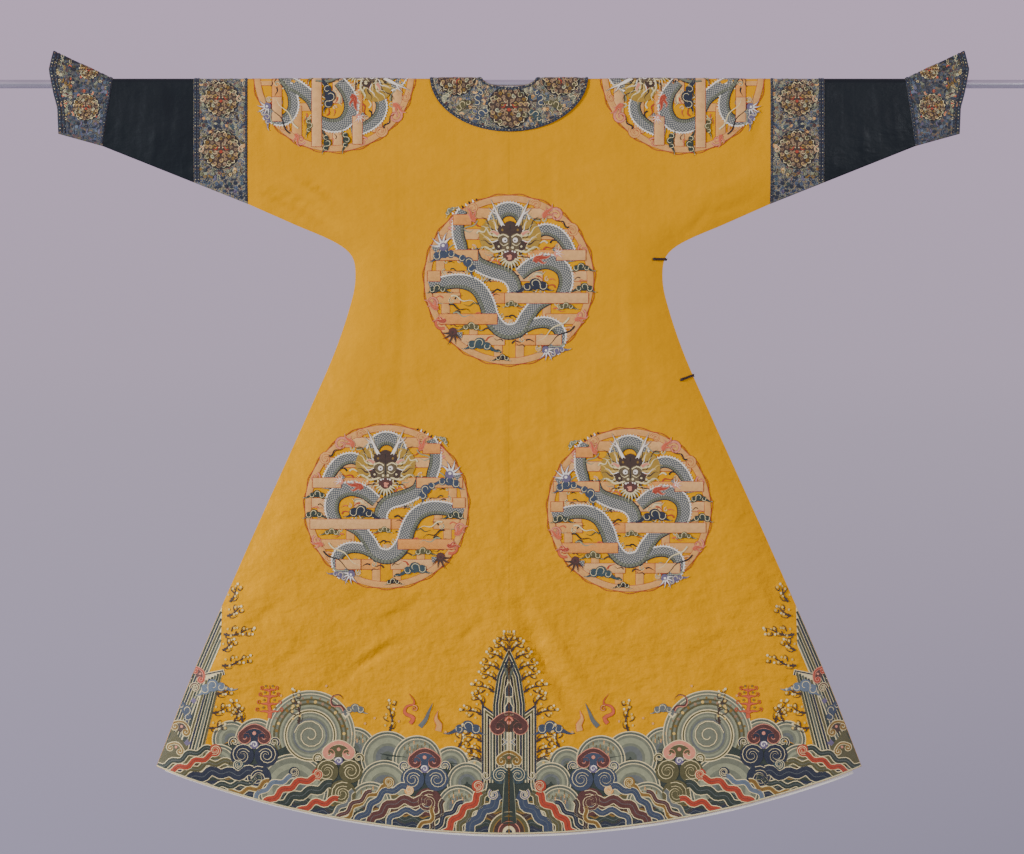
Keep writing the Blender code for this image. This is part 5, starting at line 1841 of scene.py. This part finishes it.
MEDALLION_RINGS = (
    # distance from the middle, count of scrolls, radius of a scroll, silks by turns
    (0.84, 19, 0.13, ("tan", "gold", "olive", "tan", "fawn")),
    (0.6, 14, 0.13, ("tan", "fawn", "pale sage", "gold", "tan")),
    (0.36, 8, 0.13, ("gold", "tan", "fawn")),
)


RIM_PETALS = 20


def small_medallion(hoop, middle, radius, angle=0.0, accent="red", layer=5):
    """A medallion too small for more than a face among scrolls, in a broken rim of pale petals."""
    with hoop.at(middle, angle, radius, layer=layer):
        line = 0.0007 / abs(hoop.turn)
        hoop.rings((0.001, 0.36, 0.7, 0.98, 1.08), ("brown", "brown", "brown", "dark"), 0, 360, 1, (0.0,))
        for number in range(RIM_PETALS):
            spread = 360 / RIM_PETALS * (number + np.array([0.12, 0.5, 0.88]))
            petal = towards(spread) * [0.95, 1.035, 0.95]
            silk = ("cream", "cream", "pale sage", "tan")[number % 4]
            hoop.band(petal, 0.0012 / abs(hoop.turn), silk, 2)
        for reach, count, size, silks in MEDALLION_RINGS:
            for number in range(count):
                spot = reach * towards(360 * (number + 0.5) / count)
                scroll = spiral(spot, size * 0.8, 1.0, 47 * number, (-1) ** number, 0.2)
                hoop.band(scroll, size * 0.62, silks[number % len(silks)], 2)
                scroll = spiral(spot, size * 1.05, 0.7, 47 * number + 20, (-1) ** number, 0.5)
                silk = ("straw", "dark", "cream", "pale sage", "dark")[number % 5]
                hoop.band(scroll, line, silk, 3, rise=FLAT)
        for _ in hoop.mirrored():
            for lean, silk in ((0.3 + 0.56j, "tan"), (0.5 + 0.3j, "brown"), (0.44 - 0.02j, accent)):
                tongue(hoop, wavy(0.08 + 0.1j, lean, 1.2, 0.05), 0.09, silk, 4)
            tongue(hoop, wavy(0.1 - 0.1j, 0.36 - 0.44j, 1.2, 0.05), 0.1, "tan", 4)
            hoop.bead(0.1 + 0.1j, 0.04, "cream", 6, 5)
        hoop.bead(0.04j, 0.18, "brown", 5, 9)
        hoop.bead(-0.12j, 0.1, accent, 6, 7)


def guard_cord(hoop, line, width=GUARD):
    """A navy cord along an edge, crossed by pale stitches."""
    hoop.band(line, width, "navy", GUARD_LAYER)
    along = length_along(line)
    for number, place in enumerate(np.arange(0.003, along[-1], GUARD_PITCH)):
        silk = ("pale sage", "sky", "tan", "cream")[number % 4]
        hoop.bead(point_on(line, along, place), width * 0.19, silk, GUARD_LAYER + 2, 5)


COLLAR_MEDALLIONS = (
    # across, up (towards the chest) and radius in mm, angle, silk of the curls
    (0, -59, 37, 0, "red"), (-97, -2, 33, -90, "red"), (97, -2, 33, 90, "red"),
    (0, 134.5, 25, 180, "maroon"), (-84, 90, 27, 215, "maroon"), (84, 90, 27, 145, "maroon"),
)
COLLAR_CLOUDS = (
    # across, up and size in mm, angle, mirrored, silk
    (-56, -42, 15, 70, False, "blue"), (56, -42, 15, -70, True, "blue"), (-50, -72, 15, 40, True, "blue"),
    (48, -74, 15, -40, False, "teal"), (-85, -56, 15, 30, False, "olive"), (86, -56, 15, -30, True, "olive"),
    (-118, -42, 11, 60, True, "pale sage"), (118, -42, 11, -60, False, "sage"),
    (0, -18, 11, 0, False, "navy"), (-122, 52, 13, 110, False, "blue"),
    (-44, 128, 13, 200, True, "blue"), (118, 50, 13, 60, True, "olive"),
    (-68, 45, 12, 100, True, "navy"), (68, 45, 12, 80, False, "navy"),
)


def collar_design():
    hoop = Hoop()
    clear = [(middle, radius * 1.06) for middle, radius, *_ in placed(COLLAR_MEDALLIONS)]
    low, high = complex(-COLLAR_HALF, -COLLAR_BACK), complex(COLLAR_HALF, COLLAR_FRONT)
    mosaic(hoop, low, high, 0.008, "field", 7, 0, clear)
    each(hoop, cloud, COLLAR_CLOUDS, 4)
    each(hoop, small_medallion, COLLAR_MEDALLIONS, 4)
    for border, shift in ((COLLAR_EDGE, -0.003), (NECK_HOLE, 0.003)):
        ring = closed(border) @ [1, -1j]
        ring *= 1 + shift / np.abs(ring)
        guard_cord(hoop, ring)
    return hoop


def overlap_design():
    hoop = Hoop()
    spots = (OVERLAP_EDGE + OVERLAP_LOWER)[[8, 20, 32]] / 2 @ [1, -1j]
    low = complex(0.0, OVERLAP_BAND * 1.6)
    high = complex(ARMPIT_X, -OVERLAP_LOWER[:, 1].min())
    mosaic(hoop, low, high, 0.0088, "field", 11, 0, [(spot, 0.026) for spot in spots])
    for spot, angle in zip(spots, (160, 135, 150)):
        small_medallion(hoop, spot, 0.0245, angle, "maroon", 3)
    for line, other in ((OVERLAP_EDGE, OVERLAP_LOWER), (OVERLAP_LOWER, OVERLAP_EDGE)):
        inward = (other - line) / np.maximum(np.linalg.norm(other - line, axis=1), 1e-6)[:, None]
        guard_cord(hoop, (line + inward * 0.0029)[1:] @ [1, -1j])
    return hoop


EDGE_SHY = 0.0009


def clear_of_edges(region):
    """A region drawn in a little from its edges, so that no stitch stands over a seam."""
    moves = [(dx, ds) for dx in (-EDGE_SHY, EDGE_SHY) for ds in (-EDGE_SHY, EDGE_SHY)]
    return lambda x, s: np.all([region(x + dx, s + ds) for dx, ds in moves], axis=0)


collar, overlap = clear_of_edges(on_collar), clear_of_edges(on_overlap_band)
sew(collar_design(), "collar_stitches", collar_band, level_collar, region=collar)
sew(overlap_design(), "overlap_stitches", overlap_band, layers_up(2), region=overlap)


# ======== Sleeve embroidery ========
# The sleeve bands and the horseshoe cuffs are worked like the collar: medallions among packed clouds over
# blue water at the underside, and guard cords down the seams. Front and back are alike.

UNDERSIDE_SHY, FOLD_SHY = 0.0042, 0.0002
# Across, up and radius in mm of the medallions on a sleeve band and on a cuff
BAND_MEDALLIONS = placed([(536.5, -29, 30.5), (536.5, -123, 33.5)])
CUFF_MEDALLIONS = placed([(788, -44, 23.5), (783, 26, 17.5)])


def over_sleeve(face):
    """Where a place on the back (1) or front (-1) of a sleeve hangs, from how far out and down it is."""

    def laid(x, down, lift):
        z, reach = -down, np.abs(x)
        top = fold_height(reach)
        turn = np.arccos(np.clip(z / top, 0, 1))
        y = np.where(z > 0, FOLD_RADIUS * np.sin(turn), sleeve_depth(reach, z))
        out_y = np.where(z > 0, top * np.sin(turn), 1.0)
        out_z = np.where(z > 0, FOLD_RADIUS * np.cos(turn), 0.0)
        size = np.hypot(out_y, out_z)
        return np.stack([x, -face * (y + lift * out_y / size), z + lift * out_z / size], -1)

    return laid


def between_seams(inner, outer):
    """Keeps stitches between two seams of a sleeve, its fold and its underside."""

    def trim(x, down):
        reach = np.abs(x)
        z = np.clip(-down, underside_height(reach) + UNDERSIDE_SHY, fold_height(reach) - FOLD_SHY)
        reach = np.clip(reach, line_x(inner, z) + HEM_SHY, line_x(outer, z) - HEM_SHY)
        return np.sign(x) * reach, -z

    return trim


def seam_cord(hoop, line, inset, low, high, width=GUARD):
    heights = np.linspace(low, high, round((high - low) / 0.005))
    guard_cord(hoop, line_x(line, heights) + inset + 1j * heights, width)


def band_design():
    hoop = Hoop()
    clear = [(middle, radius * 1.04) for middle, radius in BAND_MEDALLIONS]
    mosaic(hoop, 0.487 - 0.172j, 0.58 + 0.01j, 0.0086, "field", 21, 0, clear)
    mosaic(hoop, 0.487 - 0.24j, 0.588 - 0.172j, 0.009, "water", 22, 0)
    mosaic(hoop, 0.487 - 0.086j, 0.58 - 0.066j, 0.009, "water", 23, 2, clear)
    mosaic(hoop, 0.487 - 0.176j, 0.58 - 0.156j, 0.0086, "cloud", 24, 2, clear)
    for middle, radius in BAND_MEDALLIONS:
        small_medallion(hoop, middle, radius)
        for aside in (-1, 1):
            curl(hoop, middle + aside * radius * 1.14, 0.0075, 90, aside, "red", 7, turns=1.1)
    seam_cord(hoop, upright(BAND_OUTER), -0.0036, -0.2, 0.012)
    seam_cord(hoop, upright(BAND_OUTER), -0.0088, -0.2, 0.012, 0.0036)
    seam_cord(hoop, upright(SHOULDER_HALF), 0.003, -0.23, 0.012, 0.003)
    return hoop


def cuff_design():
    hoop = Hoop()
    clear = [(middle, radius * 1.04) for middle, radius in CUFF_MEDALLIONS]
    mosaic(hoop, 0.735 - 0.07j, 0.858 + 0.066j, 0.0074, "bright", 31, 0, clear)
    mosaic(hoop, 0.735 - 0.12j, 0.858 - 0.068j, 0.008, "water", 32, 0, clear)
    mosaic(hoop, 0.738 - 0.072j, 0.764 + 0.02j, 0.0078, "water", 33, 2, clear)
    mosaic(hoop, 0.815 - 0.06j, 0.842 + 0.05j, 0.0078, "cloud", 34, 2, clear)
    for middle, radius in CUFF_MEDALLIONS:
        small_medallion(hoop, middle, radius)
    cloud(hoop, 0.83 + 0.05j, 0.01, -60, False, "teal", 6)
    seam_cord(hoop, CUFF_EDGE, -0.0042, -0.105, 0.06, 0.006)
    seam_cord(hoop, CUFF_EDGE, -0.0118, -0.105, 0.06, 0.0036)
    seam_cord(hoop, CUFF_SEAM, 0.0034, -0.118, 0.014, 0.0036)
    return hoop


SLEEVE_DESIGNS = (
    ("sleeve_band_", band_design(), between_seams(upright(SHOULDER_HALF), upright(BAND_OUTER))),
    ("cuff_", cuff_design(), between_seams(CUFF_SEAM, CUFF_EDGE)),
)
for part, design, trim in SLEEVE_DESIGNS:
    for side, word in ((-1, "left"), (1, "right")):
        for face, face_word in ((1, "_back_stitches"), (-1, "_front_stitches")):
            name, cloth = part + word + face_word, sleeve_pieces[part + word]
            shape = {"flip": side < 0, "laid": over_sleeve(face), "turned_over": face < 0}
            sew(design, name, cloth, layers_up(0), trim=trim, **shape)


# ======== Loops and buttons ========
# Two loops of doubled brown cord on the chest and two at the right side hold the overlap shut. Each is
# stitched down at one end, and its eye goes round the shank of a small gilt button, cast as a ribbed ball.

CORD_BROWN = (0.03, 0.018, 0.013)
GILT = (0.8, 0.52, 0.17)
BALL_RADIUS = 0.0045
SHANK_RADIUS = 0.0012
RIBS, GROOVE_DEPTH = 10, 0.07
BALL_ROWS, BALL_SIDES = 22, 80


def twisted_cord():
    """Plied silk cord: slanting plies, with painted shade in the grooves and painted highlight on the plies.
    """
    made, tree, shader, place = finish("loop_cord_silk", {"Roughness": 0.6, "Specular IOR Level": 0.3})
    ply = ribs(tree, place, 420.0, "DIAGONAL", Distortion=1.0)
    # Painted shade and highlight: the cord's colour runs from dark in the ply grooves to light on the ply
    # crests
    feed(shader, {"Base Color": mottle(tree, ply, CORD_BROWN, 0.5, 1.9)})
    feed(shader, {"Normal": relief(tree, ply, 0.8, 0.0003)})
    return made


def gilt_brass():
    """Worn fire gilding, dull in the hollows."""
    made, tree, shader, place = finish("gilt_brass", {"Metallic": 1.0, "Roughness": 0.32})
    wear = noise(tree, place, 900.0, 4.0)
    feed(shader, {"Base Color": mottle(tree, wear, GILT, 0.55, 1.1)})
    feed(shader, {"Roughness": between(tree, wear, 0.45, 0.25), "Normal": relief(tree, wear, 0.2, 0.0002)})
    return made


def looped_cord(name, surface):
    """A loop along its own fixed run, with its cord rounded."""
    fixed = bpy.data.objects[name]
    mesh = fixed.data.copy()
    mesh.transform(fixed.matrix_world)
    mesh.materials.clear()
    work = bmesh.new()
    work.from_mesh(mesh)
    bmesh.ops.remove_doubles(work, verts=work.verts, dist=SAME_PLACE)
    bmesh.ops.subdivide_edges(work, edges=work.edges, cuts=1, use_grid_fill=True, smooth=0.6)
    work.to_mesh(mesh)
    work.free()
    piece = add_piece(name + "_cord", mesh, [surface])
    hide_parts(name)


def ribbed_ball(name, surface):
    """A button: a shank, and a ball with ribs that fade to a plain crown."""
    low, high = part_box(name)
    centre_height = high.y - low.y - BALL_RADIUS
    neck = math.asin(SHANK_RADIUS / BALL_RADIUS)
    profile = [(0, 0), (SHANK_RADIUS, 0.0), (SHANK_RADIUS, centre_height - BALL_RADIUS * math.cos(neck))]
    for angle in np.linspace(neck, math.pi, BALL_ROWS)[1:-1]:
        profile.append((BALL_RADIUS * math.sin(angle), centre_height - BALL_RADIUS * math.cos(angle)))
    profile.append((0, centre_height + BALL_RADIUS))
    foot = Vector(((low.x + high.x) / 2, low.y, (low.z + high.z) / 2))
    mesh = turned(name, profile, BALL_SIDES, Matrix.Identity(4))
    for vertex in mesh.vertices:
        radius = math.hypot(vertex.co.x, vertex.co.y)
        if radius > SHANK_RADIUS * 1.05:
            groove = abs(math.sin(RIBS / 2 * math.atan2(vertex.co.y, vertex.co.x)))
            depth = 1 - GROOVE_DEPTH * (1 - groove) ** 2 * min(1.0, radius / BALL_RADIUS * 1.5)
            vertex.co.x *= depth
            vertex.co.y *= depth
    mesh.transform(Matrix.Translation(foot) @ Matrix.Rotation(-math.pi / 2, 4, "X"))
    piece = add_piece(name + "_gilt", mesh, [surface])
    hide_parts(name)


loop_silk, gilt = twisted_cord(), gilt_brass()
for place in ("neck", "chest", "armpit", "side"):
    looped_cord(place + "_loop", loop_silk)
    ribbed_ball(place + "_button", gilt)


# ======== Floor, light and camera ========
# The robe is shown alone in soft, even studio light over a plain pale floor. A large key light from the
# left rakes across the cloth so that its creases show, and a broad fill comes from the right. A third
# light stands on the side of the robe's front.

FLOOR_DROP = 1.75
AIR = {
    "low left": (0.376, 0.344, 0.48, 1),
    "low right": (0.3, 0.276, 0.379, 1),
    "level": (0.49, 0.41, 0.528, 1),
    "high": (0.586, 0.453, 0.608, 1),
}
floor_mesh = turned("floor", [(0, 0), (1.2, 0), (2.3, 0)], 64, Matrix.Translation((0, 0, -FLOOR_DROP)))
floor = in_scene("floor", floor_mesh)
floor_paint, floor_tree, floor_shader, floor_place = finish("floor_paint", {"Roughness": 0.8})
floor_shade = noise(floor_tree, floor_place, 3.0)
floor_grey = blend_colours(floor_tree, floor_shade, (0.24, 0.22, 0.29, 1), (0.27, 0.25, 0.32, 1))
feed(floor_shader, {"Base Color": floor_grey})
floor_mesh.materials.append(floor_paint)


def studio_air():
    """The backdrop's soft fall of light: paler and warmer above, darker towards the lower right."""
    world = bpy.data.worlds.new("studio")
    bpy.context.scene.world = world
    world.use_nodes = True
    tree = world.node_tree
    direction = node(tree, "TexCoord", {}).outputs["Generated"]
    parts = node(tree, "SeparateXYZ", {"Vector": direction}).outputs
    low = blend_colours(tree, ramp(tree, parts["X"], -0.16, 0.16), AIR["low left"], AIR["low right"])
    low = blend_colours(tree, ramp(tree, parts["Z"], -0.14, 0.02), low, AIR["level"])
    colour = blend_colours(tree, ramp(tree, parts["Z"], 0.0, 0.13), low, AIR["high"])
    feed(tree.nodes["Background"], {"Color": colour, "Strength": 1.0})


def soft_light(name, place, aim, size, power):
    lamp = bpy.data.lights.new(name, "AREA")
    lamp.shape = "RECTANGLE"
    lamp.size, lamp.size_y = size
    lamp.energy = power
    holder = in_scene(name, lamp)
    holder.location = place
    holder.rotation_euler = (Vector(aim) - Vector(place)).to_track_quat("-Z", "Y").to_euler()


studio_air()
soft_light("key_light", (-8.0, -4.5, 1.2), (0, 0, -0.6), (2.0, 2.0), 1480)
soft_light("fill_light", (5.0, -6.0, 0.4), (0, 0, -0.7), (3.0, 3.0), 280)
soft_light("front_light", (4.0, 6.5, 1.2), (0, 0, -0.6), (3.0, 3.0), 950)

FRAME_WIDTH = 1.911
VIEW_DISTANCE = 6.0
camera_data = bpy.data.cameras.new("camera")
camera_data.sensor_width = 36.0
camera_data.lens = camera_data.sensor_width * VIEW_DISTANCE / FRAME_WIDTH
camera = in_scene("camera", camera_data)
camera.location = (0.0056, -VIEW_DISTANCE, -0.64)
camera.rotation_euler = (math.pi / 2, 0, 0)
bpy.context.scene.camera = camera


# ======== Scene update ===

bpy.context.view_layer.update()
